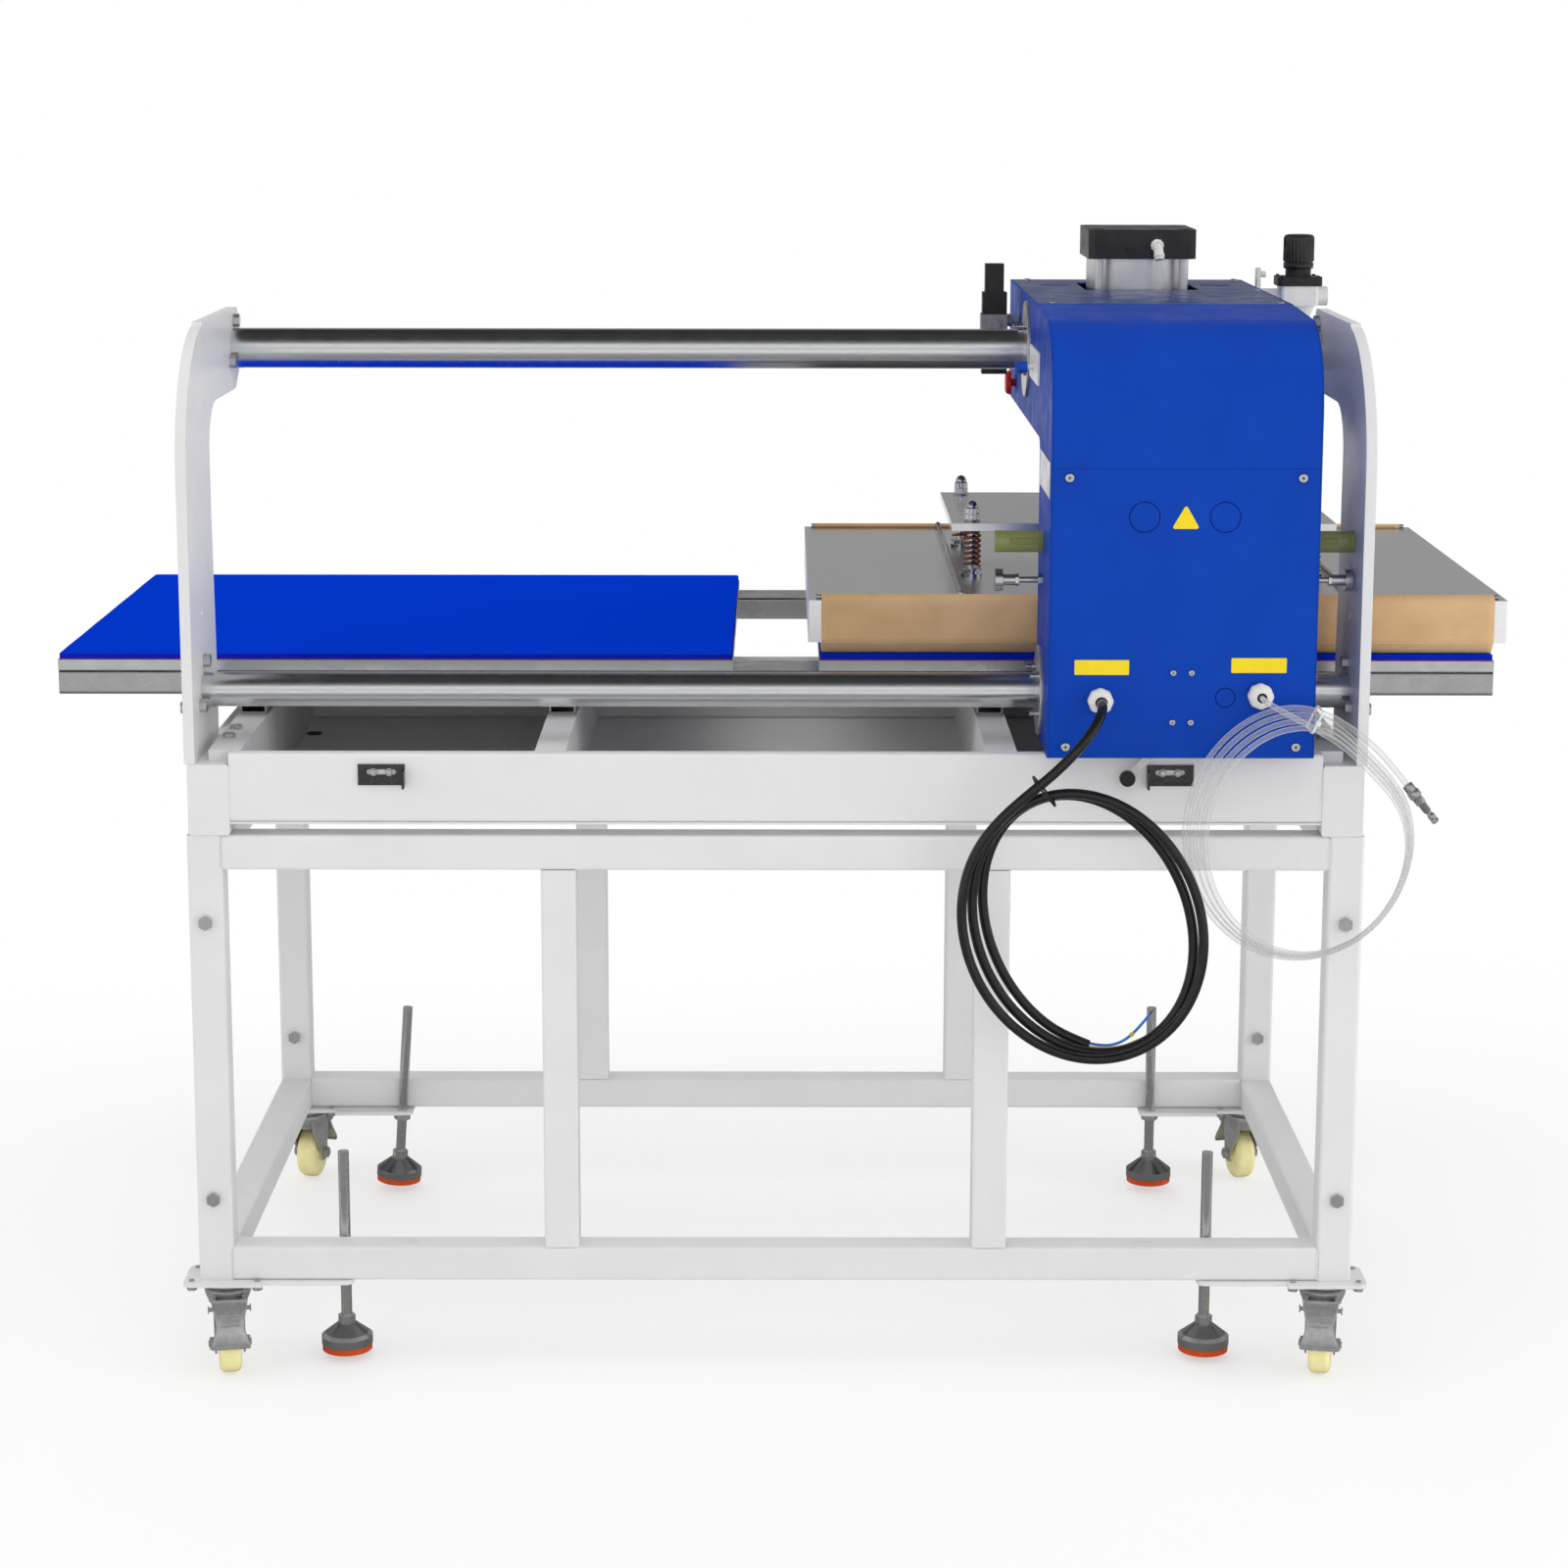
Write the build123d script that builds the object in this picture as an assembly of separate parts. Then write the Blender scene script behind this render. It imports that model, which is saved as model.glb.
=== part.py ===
"""Pneumatic dual heat press: one sliding press head over two fixed beds on a wheeled cart.

While it is drawn, X = 0 is the middle of the cart, Y = 0 the rear faces of its legs and Z = 0
the floor. +Y points to the operator. On export everything moves so that X = Y = 0 is the middle
of the whole machine's box.
"""
import math
import os
from build123d import *

os.makedirs("parts", exist_ok=True)

# Clearances
RUNNING = 0.05          # radial clearance of a shaft in its bore
EASE = 0.3              # gap between faces of pieces that move past each other
SCREW_FIT = 0.2         # radial clearance of a screw in its hole

# Cart
CART_WIDTH = 1671.0
CART_DEPTH = 887.0
CART_HEIGHT = 661.0     # underside of the bottom beams to the top of the top beams
TUBE = 50.0
TUBE_WALL = 3.0
TUBE_CORNER = 5.0
MID_LEG_X = 309.0

# Casters
CASTER_HEIGHT = 130.0   # floor to the underside of the caster plate
CASTER_IN = 36.5        # swivel axis inside the cart's end
CASTER_Y = 25.0
CASTER_TRAIL = 28.0
CASTER_TURN = 11.0      # how far each caster is swivelled at rest, degrees
WHEEL_D = 84.0
WHEEL_WIDTH = 32.0
WHEEL_EDGE = 9.0
AXLE_D = 10.0
RACE_D = 67.0
RACE_H = 9.0
STEM_D = 20.0
FORK_T = 3.0
FORK_DEPTH = 52.0
PIVOT_D = 6.0
PIVOT_Y = -46.0         # pedal pivot from the swivel axis, along the trail
PIVOT_DROP = 30.0       # pedal pivot below the caster plate
PEDAL_WIDTH = 58.0
PEDAL_T = 2.5
PLATE_T = 6.0
PLATE_IN = 92.5         # plate's inner edge inside the cart's end
PLATE_OUT = 22.5        # its outer edge beyond it
PLATE_Y0 = -17.0
PLATE_Y1 = 64.0
TONGUE_IN = 222.5
TONGUE_Y0 = -5.0
TONGUE_Y1 = 77.0
PLATE_BOLT_D = 8.0
PLATE_BOLTS_X = 95.0
PLATE_BOLTS_Y = 57.0

# Screw feet
FOOT_IN = 204.5         # rod inside the cart's end
FOOT_Y = 60.0
FOOT_ROD_D = 16.0
FOOT_LENGTH = 302.0
FOOT_LIFT_REAR = 10.0   # foot's underside above the floor
FOOT_LIFT_FRONT = 13.0
FOOT_PAD_D = 73.0
FOOT_PAD_T = 9.0
FOOT_RIM_D = 75.0
FOOT_RIM_T = 12.0
FOOT_CONE_H = 18.0
FOOT_CONE_TOP_D = 30.0
FOOT_HEX = 22.0
FOOT_HEX_H = 13.0
FOOT_LEAN = 3.9         # degrees, front left foot only
LOCK_NUT = 24.0
LOCK_NUT_H = 10.0

# Upper frame
SIDE_TUBE_W = 59.0
SIDE_TUBE_H = 103.0
SIDE_TUBE_SET_IN = 3.5
TRAY_LIFT = 20.0        # tray beams above the cart's top
TRAY_H = 99.0
TRAY_BEAM_W = 25.0
TRAY_RIM_INNER = 75.5   # tray rim's edges inside the cart's end
TRAY_RIM_OUTER = 30.5
TRAY_FRONT = 812.0
TRAY_SHEET = 3.0
CROSS_X = 320.0
CROSS_W = 54.0
CROSS_TOP_W = 44.0

# Uprights
UPRIGHT_T = 15.0
UPRIGHT_TOP = 610.0     # above the side tubes
UPRIGHT_ARC = 195.0
UPRIGHT_REACH = 500.0
UPRIGHT_COLUMN = 200.0
UPRIGHT_FOOT = 214.0
UPRIGHT_HEAD = 121.0    # height of the arm that holds the upper rail
UPRIGHT_THROAT = 270.0

# Rails
UPPER_RAIL_D = 60.0
UPPER_RAIL_Y = 445.0
UPPER_RAIL_Z = 551.0    # above the side tubes
LOWER_RAIL_D = 50.0
LOWER_RAIL_Y = 97.0
LOWER_RAIL_Z = 91.0     # above the side tubes
RAIL_SCREW_R = 41.0
RAIL_SCREW = 17.0
RAIL_SCREW_H = 10.0

# Beds
STATION_X = 565.0       # head's middle over each bed
BED_WIDTH = 1000.0
BED_PLATE_W = 1002.0
BED_DEPTH = 800.0
BED_REAR = 271.0
BED_PLATE_T = 16.0
PAD_T = 9.5
CARRIER_H = 35.0
CARRIER_W = 40.0
BED_BAR_H = 36.0
BED_BAR_W = 97.0

# Head
HEAD_WIDTH = 373.0
HEAD_REAR = -50.0
HEAD_DROP = 21.0        # head's underside above the side tubes
HEAD_HEIGHT = 610.0
HEAD_ARC = 122.0
HEAD_CREASE_Y = 271.0
HEAD_SLOPE = 7.4        # rise of the cover from the end of its arc to the crease
HEAD_FRONT = 843.0
HEAD_ARM_H = 185.0
COLUMN_FRONT = 163.0
COLUMN_FILLET = 22.0
SIDE_T = 3.0
SHEET_T = 2.0
SEAM_DROP = 204.0       # seam between rear panel and cover, below the head's top
FLANGE_T = 4.5
UPPER_FLANGE_D = 145.0
LOWER_FLANGE_D = 130.0
BUSH_WALL = 14.0
BUSH_L = 80.0
FLANGE_SCREW = 8.0
FLANGE_SCREW_OUT = 13.0

# Buffers and travel stops
STOP_Y = 82.0
BUFFER_Z = 308.0        # above the side tubes
TRAVEL_STOP_Z = 253.0   # above the side tubes
BUFFER_D = 31.0
BUFFER_CORE_D = 10.0
STOP_GAP = 0.5          # left between a buffer and the upright at the end of travel
STOP_ROD_D = 9.0
STOP_DISC_D = 32.0
STOP_DISC_T = 11.0

# Cylinder and press
CYLINDER_Y = 671.0
CYLINDER_D = 158.0
CYLINDER_BORE = 125.0
CYLINDER_OUT = 47.0     # barrel above the head's top
CYLINDER_CAP = 167.0
CYLINDER_CAP_H = 45.0
CYLINDER_FLANGE_H = 30.0
CYLINDER_PLATE_T = 12.0
TIE_ROD_D = 14.0
TIE_ROD_AT = 66.0
COVER_OPENING = 176.0
PISTON_ROD_D = 32.0
PISTON_T = 20.0
STROKE = 100.0
ROD_FLANGE_D = 96.0
ROD_FLANGE_T = 20.0
PRESS_Y = 677.0
PRESS_WIDTH = 591.0
PRESS_DEPTH = 388.0
PRESS_T = 12.0
PRESS_BOLT_X = 263.0
PRESS_BOLT_Y = 165.0
PRESS_BOLT_D = 12.0
PRESS_BOLT_OUT = 31.0
CUP_D = 33.0
CUP_H = 13.0
CUP_FOOT_T = 5.0
CUP_NECK_D = 22.0
COLLAR_T = 3.0
SPRING_D = 29.0
SPRING_WIRE = 4.0
SPRING_TURNS = 7
SPRING_LENGTH = 59.0
COLLAR_D = 31.0
PLATEN_WIDTH = 1035.0
PLATEN_DEPTH = 820.0
PLATEN_HEIGHT = 63.0
PLATEN_WALL = 2.0
HEAT_PLATE_W = 996.0
HEAT_PLATE_D = 790.0
HEAT_PLATE_T = 16.5     # below the casing's mouth
HEAT_PLATE_NECK = 8.5   # inside the casing
PAD_GAP = 1.5           # closed press: PTFE sheet above the pad
PTFE_WIDTH = 996.0
PTFE_T = 0.6
PTFE_ROD_D = 7.0
PTFE_ROD_IN = 14.0
TOP_BAR_X = 290.0
TOP_BAR_W = 12.0
TOP_BAR_H = 5.0
TOP_BAR_END = 26.0

# Strikers and travel switch
STRIKER_X = 557.0
STRIKER_L = 66.0
STRIKER_H = 30.0
STRIKER_Z = -14.0       # middle of the bracket, from the side tubes' top
STRIKER_T = 3.0
STRIKER_TAB = 18.0
SWITCH_X = -31.0        # lever pivot from the head's middle
SWITCH_Y0 = -44.0
SWITCH_BODY = (44.0, 14.0, 30.0)
SWITCH_LEVER = (-40.0, -42.0)
ROLLER_D = 22.0
ROLLER_T = 9.0

# Controls
BUTTON_STEM_D = 12.0
STOP_BUTTON_Y = 700.0
STOP_BUTTON_Z = 477.0   # above the side tubes
STOP_BUTTON_D = 38.0
STOP_BUTTON_OUT = 16.0
STOP_TRAVEL = 4.0
SIDE_KNOB_Y = 270.0
SIDE_KNOB_Z = 539.0     # above the side tubes
SIDE_KNOB_STEM_D = 8.0
SIDE_KNOB_D = 17.0
PANEL_X = -30.0         # panel's middle from the head's
PANEL_W = 190.0
PANEL_H = 120.0
PANEL_T = 22.0
PANEL_KEYS = 4
PANEL_KEY_PITCH = 34.0
START_BUTTON_X = 143.0  # from the head's middle
START_BUTTON_D = 36.0
START_TRAVEL = 4.0

# Air fittings beside the arm
VALVE_OUT = 18.5        # valve's body from the head's left side
VALVE_W = 39.0
VALVE_Y = 640.0
VALVE_D = 32.0
REGULATOR_OUT = 70.0    # body's middle from the head's right side
REGULATOR_Y = 690.0
REGULATOR_W = 58.0
REGULATOR_RISE = 1.0    # its body's top above the head's
REGULATOR_FLANGE_T = 14.0
REGULATOR_NECK_H = 12.0
REGULATOR_SHAFT_D = 12.0
REGULATOR_KNOB_H = 53.0
REGULATOR_KNOB_D = 49.0

# Fittings on the rear panel
GLAND_AF = 27.0
GLAND_OUT = 26.0
GLAND_THREAD = 20.0
MAINS_GLAND = (-114.0, 83.0)    # X from the head's middle, Z above the head's underside
HOSE_GLAND = (108.5, 90.0)

# Cords
MAINS_D = 14.0
CORE_D = 4.0
HOSE_D = 8.0
CORD_GAP = 0.05         # between the end faces of a cord's lengths
MAINS_TURNS = 2.375
HOSE_TURNS = 4.0


def up(z):
    """A height that is given above the side tubes."""
    return SIDE_TOP + z


# Levels and places that follow from the sizes above
CART_HALF = CART_WIDTH / 2
CASTER_X = CART_HALF - CASTER_IN
PLATE_X0 = CART_HALF - PLATE_IN
PLATE_X1 = CART_HALF + PLATE_OUT
TONGUE_X = CART_HALF - TONGUE_IN
FOOT_X = CART_HALF - FOOT_IN
TRAY_RIM_IN = CART_HALF - TRAY_RIM_INNER
TRAY_RIM_OUT = CART_HALF - TRAY_RIM_OUTER
BED_BAR_HALF = STATION_X + BED_WIDTH / 2
CART_BOTTOM = CASTER_HEIGHT + PLATE_T
CART_TOP = CART_BOTTOM + CART_HEIGHT
SIDE_TOP = CART_TOP + SIDE_TUBE_H
TRAY_BOTTOM = CART_TOP + TRAY_LIFT
TRAY_TOP = TRAY_BOTTOM + TRAY_H
RAIL_HALF = CART_HALF - UPRIGHT_T
SIDE_TUBE_OUT = CART_HALF - SIDE_TUBE_SET_IN
SIDE_TUBE_IN = SIDE_TUBE_OUT - SIDE_TUBE_W
BAR_BOTTOM = TRAY_TOP + CARRIER_H
BED_BOTTOM = BAR_BOTTOM + BED_BAR_H
BED_TOP = BED_BOTTOM + BED_PLATE_T
PAD_TOP = BED_TOP + PAD_T
BED_FRONT = BED_REAR + BED_DEPTH
HEAD_BOTTOM = up(HEAD_DROP)
HEAD_TOP = HEAD_BOTTOM + HEAD_HEIGHT
ARM_BOTTOM = HEAD_TOP - HEAD_ARM_H
SEAM_Z = HEAD_TOP - SEAM_DROP
HEAD_X = STATION_X
PANEL_Z = HEAD_TOP - HEAD_ARM_H / 2
SWITCH_PIVOT_Z = HEAD_BOTTOM + 8.0
KNOB_LOW = HEAD_TOP + REGULATOR_RISE + REGULATOR_FLANGE_T + REGULATOR_NECK_H + EASE
HEAD_LEFT = HEAD_X - HEAD_WIDTH / 2
HEAD_RIGHT = HEAD_X + HEAD_WIDTH / 2
BUFFER_L = RAIL_HALF - HEAD_RIGHT - STOP_GAP
HEAT_BOTTOM = PAD_TOP + PAD_GAP + PTFE_T
PLATEN_BOTTOM = HEAT_BOTTOM + HEAT_PLATE_T
PLATEN_TOP = PLATEN_BOTTOM + PLATEN_HEIGHT
CUP_TOP = PLATEN_TOP + CUP_H
PRESS_BOTTOM = CUP_TOP + SPRING_LENGTH + SPRING_WIRE / 2
PRESS_TOP = PRESS_BOTTOM + PRESS_T
PLATEN_REAR = PRESS_Y - PLATEN_DEPTH / 2
PLATEN_FRONT = PRESS_Y + PLATEN_DEPTH / 2
CAP_Z = HEAD_TOP + CYLINDER_OUT
CYLINDER_BASE = ARM_BOTTOM + SIDE_T + CYLINDER_PLATE_T

# The machine's box, and the move that puts the origin on its middle
REAR_MOST = HEAD_REAR - GLAND_OUT
SHIFT_X = (STATION_X + BED_PLATE_W / 2 - (HEAD_X + PLATEN_WIDTH / 2)) / 2
SHIFT_Y = -(REAR_MOST + PLATEN_FRONT + PTFE_T + EASE) / 2

EAST, WEST = (1, 0, 0), (-1, 0, 0)
FRONT, REAR = (0, 1, 0), (0, -1, 0)
UP, DOWN = (0, 0, 1), (0, 0, -1)
SIDES = (-1, 1)


def save(name, *pieces):
    """Write one node, each of its pieces a separate solid, in the machine's own frame."""
    solids = [solid for piece in pieces for solid in piece.solids()]
    moved = [Pos(SHIFT_X, SHIFT_Y, 0) * solid for solid in solids]
    export_step(Compound(children=moved), f"parts/{name}.step")


def block(x0, x1, y0, y1, z0, z1):
    """A plain block between two corners."""
    return Pos((x0 + x1) / 2, (y0 + y1) / 2, (z0 + z1) / 2) * Box(x1 - x0, y1 - y0, z1 - z0)


def rod(start, axis, length, diameter):
    """A round bar from a point along an axis."""
    bar = Cylinder(diameter / 2, length, align=(Align.CENTER, Align.CENTER, Align.MIN))
    return Plane(origin=start, z_dir=axis) * bar


def ring(start, axis, length, diameter, bore):
    """A round tube from a point along an axis."""
    return rod(start, axis, length, diameter) - rod(start, axis, length, bore)


def hex_bar(start, axis, length, flats):
    """A six-sided bar, given across its flats."""
    return extrude(Plane(origin=start, z_dir=axis) * RegularPolygon(flats / 2, 6, major_radius=False),
                   length)


def hex_bolt(start, axis, head, shank, length, head_h):
    """A bolt: its head stands on the start point, and its shank goes the other way."""
    back = tuple(-c for c in axis)
    return hex_bar(start, axis, head_h, head) + rod(start, back, length, shank)


def pan_screw(start, axis, diameter, height):
    """A round-topped screw head."""
    head = rod(start, axis, height, diameter)
    top = head.faces().sort_by(Axis(start, axis))[-1]
    return fillet(top.edges(), height * 0.45)


def square_tube(start, axis, length, width, height, wall):
    """A hollow tube whose section is centred on the start point."""
    across = (0, 1, 0) if axis == EAST else (1, 0, 0)
    section = RectangleRounded(width, height, TUBE_CORNER)
    section -= RectangleRounded(width - 2 * wall, height - 2 * wall, TUBE_CORNER - wall)
    return extrude(Plane(origin=start, x_dir=across, z_dir=axis) * section, length)


def side_profile(x0, x1, wire):
    """A plate between two X planes whose outline is a closed wire drawn in the YZ plane."""
    return extrude(Plane.YZ.offset(x0) * make_face(wire), x1 - x0)


def mirrored(piece):
    """The same piece on the other side of the cart's middle."""
    return mirror(piece, about=Plane.YZ)


def front_to_back(piece):
    """The same piece at the other end of the cart's depth."""
    return mirror(piece, about=Plane.XZ.offset(-CART_DEPTH / 2))


# Cart

def cart_legs():
    corners = [(s * (CART_HALF - TUBE / 2), y, CART_BOTTOM, CART_TOP)
               for s in SIDES for y in (TUBE / 2, CART_DEPTH - TUBE / 2)]
    middles = [(s * MID_LEG_X, y, CART_BOTTOM + TUBE, CART_TOP - TUBE)
               for s in SIDES for y in (TUBE / 2, CART_DEPTH - TUBE / 2)]
    return [square_tube((x, y, z0), UP, z1 - z0, TUBE, TUBE, TUBE_WALL)
            for x, y, z0, z1 in corners + middles]


def cart_beams():
    beams = []
    for z in (CART_BOTTOM + TUBE / 2, CART_TOP - TUBE / 2):
        for y in (TUBE / 2, CART_DEPTH - TUBE / 2):
            beams.append(square_tube((TUBE - CART_HALF, y, z), EAST, CART_WIDTH - 2 * TUBE,
                                     TUBE, TUBE, TUBE_WALL))
        for s in SIDES:
            beams.append(square_tube((s * (CART_HALF - TUBE / 2), TUBE, z), FRONT,
                                     CART_DEPTH - 2 * TUBE, TUBE, TUBE, TUBE_WALL))
    return beams


def plate_bolt_places():
    """Bolts of the rear left caster plate."""
    return [(-CASTER_X + a * PLATE_BOLTS_X / 2, CASTER_Y + b * PLATE_BOLTS_Y / 2)
            for a in SIDES for b in SIDES]


def foot_axis(name):
    """Where a foot's rod crosses the caster plate, and the way its rod points."""
    x = -FOOT_X if "left" in name else FOOT_X
    y = FOOT_Y if "rear" in name else CART_DEPTH - FOOT_Y
    lean = math.radians(FOOT_LEAN) if name == "front_left" else 0.0
    return (x, y, CASTER_HEIGHT + PLATE_T / 2), (math.sin(lean), 0, math.cos(lean))


CORNERS = ["rear_left", "rear_right", "front_left", "front_right"]


def to_corner(piece, name):
    """Move a piece drawn at the rear left to another corner, mirrored as the cart is."""
    if "right" in name:
        piece = mirrored(piece)
    return front_to_back(piece) if "front" in name else piece


def caster_plate(name):
    plate = block(-PLATE_X1, -PLATE_X0, PLATE_Y0, PLATE_Y1, CASTER_HEIGHT, CART_BOTTOM)
    tongue = block(-PLATE_X0, -TONGUE_X, TONGUE_Y0, TONGUE_Y1, CASTER_HEIGHT, CART_BOTTOM)
    rounding = 12.0
    plate = fillet(plate.edges().filter_by(Axis.Z).group_by(Axis.X)[0], rounding)
    tongue = fillet(tongue.edges().filter_by(Axis.Z).group_by(Axis.X)[-1], rounding)
    plate = plate + tongue
    for x, y in plate_bolt_places():
        plate -= rod((x, y, CASTER_HEIGHT), UP, PLATE_T, PLATE_BOLT_D + 2 * SCREW_FIT)
    plate = to_corner(plate, name)
    point, axis = foot_axis(name)
    low = tuple(p - 2 * PLATE_T * a for p, a in zip(point, axis))
    return plate - rod(low, axis, 4 * PLATE_T, FOOT_ROD_D + 2 * EASE)


def caster_mount(name):
    """The fixed half of the swivel race, and the bolts that hold it to the plate."""
    race = rod((-CASTER_X, CASTER_Y, CASTER_HEIGHT), DOWN, RACE_H, RACE_D)
    race = chamfer(race.faces().sort_by(Axis.Z)[0].edges(), RACE_H / 3)
    race -= rod((-CASTER_X, CASTER_Y, CASTER_HEIGHT), DOWN, RACE_H, STEM_D + 2 * RUNNING)
    head, nut_h = 13.0, 7.0
    bolts = []
    for x, y in plate_bolt_places():
        bolt = hex_bolt((x, y, CASTER_HEIGHT), DOWN, head, PLATE_BOLT_D, PLATE_T + 2, nut_h)
        bolts.append(bolt)
    return [to_corner(piece, name) for piece in [race] + bolts]


# Casters, drawn with the swivel axis on Z and the mounting face at Z = 0, trailing to -Y

def caster_place(name):
    """Where a caster's own frame goes, and its turn about the swivel axis."""
    x = -CASTER_X if "left" in name else CASTER_X
    y = CASTER_Y if "rear" in name else CART_DEPTH - CASTER_Y
    turn = CASTER_TURN if "left" in name else -CASTER_TURN
    if "front" in name:
        turn = 180 - turn
    return Pos(x, y, CASTER_HEIGHT) * Rot(0, 0, turn)


AXLE_DROP = CASTER_HEIGHT - WHEEL_D / 2
CHEEK_IN = WHEEL_WIDTH / 2 + 3.0
CHEEK_OUT = CHEEK_IN + FORK_T


def caster_fork():
    top = -RACE_H - EASE
    dish = rod((0, 0, top), DOWN, FORK_T + 1, RACE_D - 3)
    stem = rod((0, 0, top), UP, RACE_H - 1, STEM_D)
    bridge_z = top - FORK_T - 1
    bridge = block(-CHEEK_OUT, CHEEK_OUT, PIVOT_Y + 14, FORK_DEPTH / 2, bridge_z - FORK_T, bridge_z)
    nose = 13.0
    outline = Polyline([(FORK_DEPTH / 2, bridge_z), (PIVOT_Y + 8, bridge_z), (PIVOT_Y - 5, -PIVOT_DROP + 4),
                        (PIVOT_Y - 5, -PIVOT_DROP - 7), (-CASTER_TRAIL - nose, -AXLE_DROP + 4),
                        (-CASTER_TRAIL - nose + 4, -AXLE_DROP - nose),
                        (-CASTER_TRAIL + nose - 4, -AXLE_DROP - nose),
                        (-CASTER_TRAIL + nose, -AXLE_DROP), (FORK_DEPTH / 2, bridge_z - 22)], close=True)
    fork = dish + stem + bridge
    for s in SIDES:
        x = CHEEK_IN if s > 0 else -CHEEK_OUT
        fork += side_profile(x, x + FORK_T, outline)
    nut = 17.0
    axle = (-CHEEK_OUT - 9, -CASTER_TRAIL, -AXLE_DROP)
    fork += rod(axle, EAST, 2 * CHEEK_OUT + 18, AXLE_D)
    fork += hex_bar((-CHEEK_OUT - 7, axle[1], axle[2]), EAST, 7, nut)
    fork += hex_bar((CHEEK_OUT, axle[1], axle[2]), EAST, 7, nut)
    pin = (-PEDAL_WIDTH / 2 - 2, PIVOT_Y, -PIVOT_DROP)
    fork += rod(pin, EAST, PEDAL_WIDTH + 4, PIVOT_D)
    for x in (-PEDAL_WIDTH / 2 - 2, PEDAL_WIDTH / 2 + EASE):
        fork += rod((x, PIVOT_Y, -PIVOT_DROP), EAST, 2 - EASE, PIVOT_D + 5)
    return fork


def caster_wheel():
    half = WHEEL_WIDTH / 2
    wheel = rod((-half, -CASTER_TRAIL, -AXLE_DROP), EAST, WHEEL_WIDTH, WHEEL_D)
    wheel = fillet(wheel.edges(), WHEEL_EDGE)
    hub = half + 3.0 - EASE
    wheel += rod((-hub, -CASTER_TRAIL, -AXLE_DROP), EAST, 2 * hub, AXLE_D + 12)
    return wheel - rod((-hub, -CASTER_TRAIL, -AXLE_DROP), EAST, 2 * hub, AXLE_D + 2 * RUNNING)


def caster_pedal():
    """Bent tread with two ears that turn on the pivot pin."""
    y, z = PIVOT_Y, -PIVOT_DROP
    outer = [(y - 2, z + 14), (y - 16, z + 2), (y - 31, z - 24), (y - 33, z - 47), (y - 28, z - 49)]
    inner = [(y - 28, z - 49 + PEDAL_T), (y - 33 + PEDAL_T, z - 46), (y - 31 + PEDAL_T, z - 24),
             (y - 14, z), (y, z + 12)]
    half = PEDAL_WIDTH / 2
    tread = side_profile(-half, half, Polyline(outer + inner, close=True))
    ear = Polyline([(y - 1, z + 13), (y - 15, z + 1), (y - 28, z - 22), (y - 24, z - 24), (y - 5, z - 7),
                    (y + 6, z - 5), (y + 6, z + 6)], close=True)
    for x in (-half, half - PEDAL_T):
        tread += side_profile(x, x + PEDAL_T, ear)
    return tread - rod((-half, y, z), EAST, PEDAL_WIDTH, PIVOT_D + 2 * RUNNING)


# Screw feet

def foot(name):
    """Rod with its hex, cone with its rim, and rubber pad, along the rod's own axis."""
    point, axis = foot_axis(name)
    lift = FOOT_LIFT_REAR if "rear" in name else FOOT_LIFT_FRONT
    base = CASTER_HEIGHT + PLATE_T / 2 - lift
    place = Plane(origin=point, z_dir=axis)
    pad = rod((0, 0, -base), UP, FOOT_PAD_T, FOOT_PAD_D)
    z = FOOT_PAD_T - base
    rim = rod((0, 0, z), UP, FOOT_RIM_T, FOOT_RIM_D)
    z += FOOT_RIM_T
    cone = Pos(0, 0, z) * Cone(FOOT_RIM_D / 2, FOOT_CONE_TOP_D / 2, FOOT_CONE_H,
                               align=(Align.CENTER, Align.CENTER, Align.MIN))
    z += FOOT_CONE_H
    screw = hex_bar((0, 0, z), UP, FOOT_HEX_H, FOOT_HEX)
    screw += rod((0, 0, z), UP, FOOT_LENGTH - base - z, FOOT_ROD_D)
    return [place * piece for piece in (pad, rim + cone, screw)]


def lock_nut(name):
    """Nut on a front foot's rod, just under the caster plate."""
    point, axis = foot_axis(name)
    lean = math.radians(FOOT_LEAN) if name == "front_left" else 0.0
    offset = -PLATE_T / 2 - EASE - LOCK_NUT / 2 * math.tan(lean) - LOCK_NUT_H
    bore = FOOT_ROD_D + 2 * EASE
    nut = hex_bar((0, 0, offset), UP, LOCK_NUT_H, LOCK_NUT) - rod((0, 0, offset), UP, LOCK_NUT_H, bore)
    nut = chamfer(nut.edges().filter_by(GeomType.LINE).filter_by(Axis.Z, reverse=True), 0.8)
    return Plane(origin=point, z_dir=axis) * nut


# Upper frame and uprights

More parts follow.
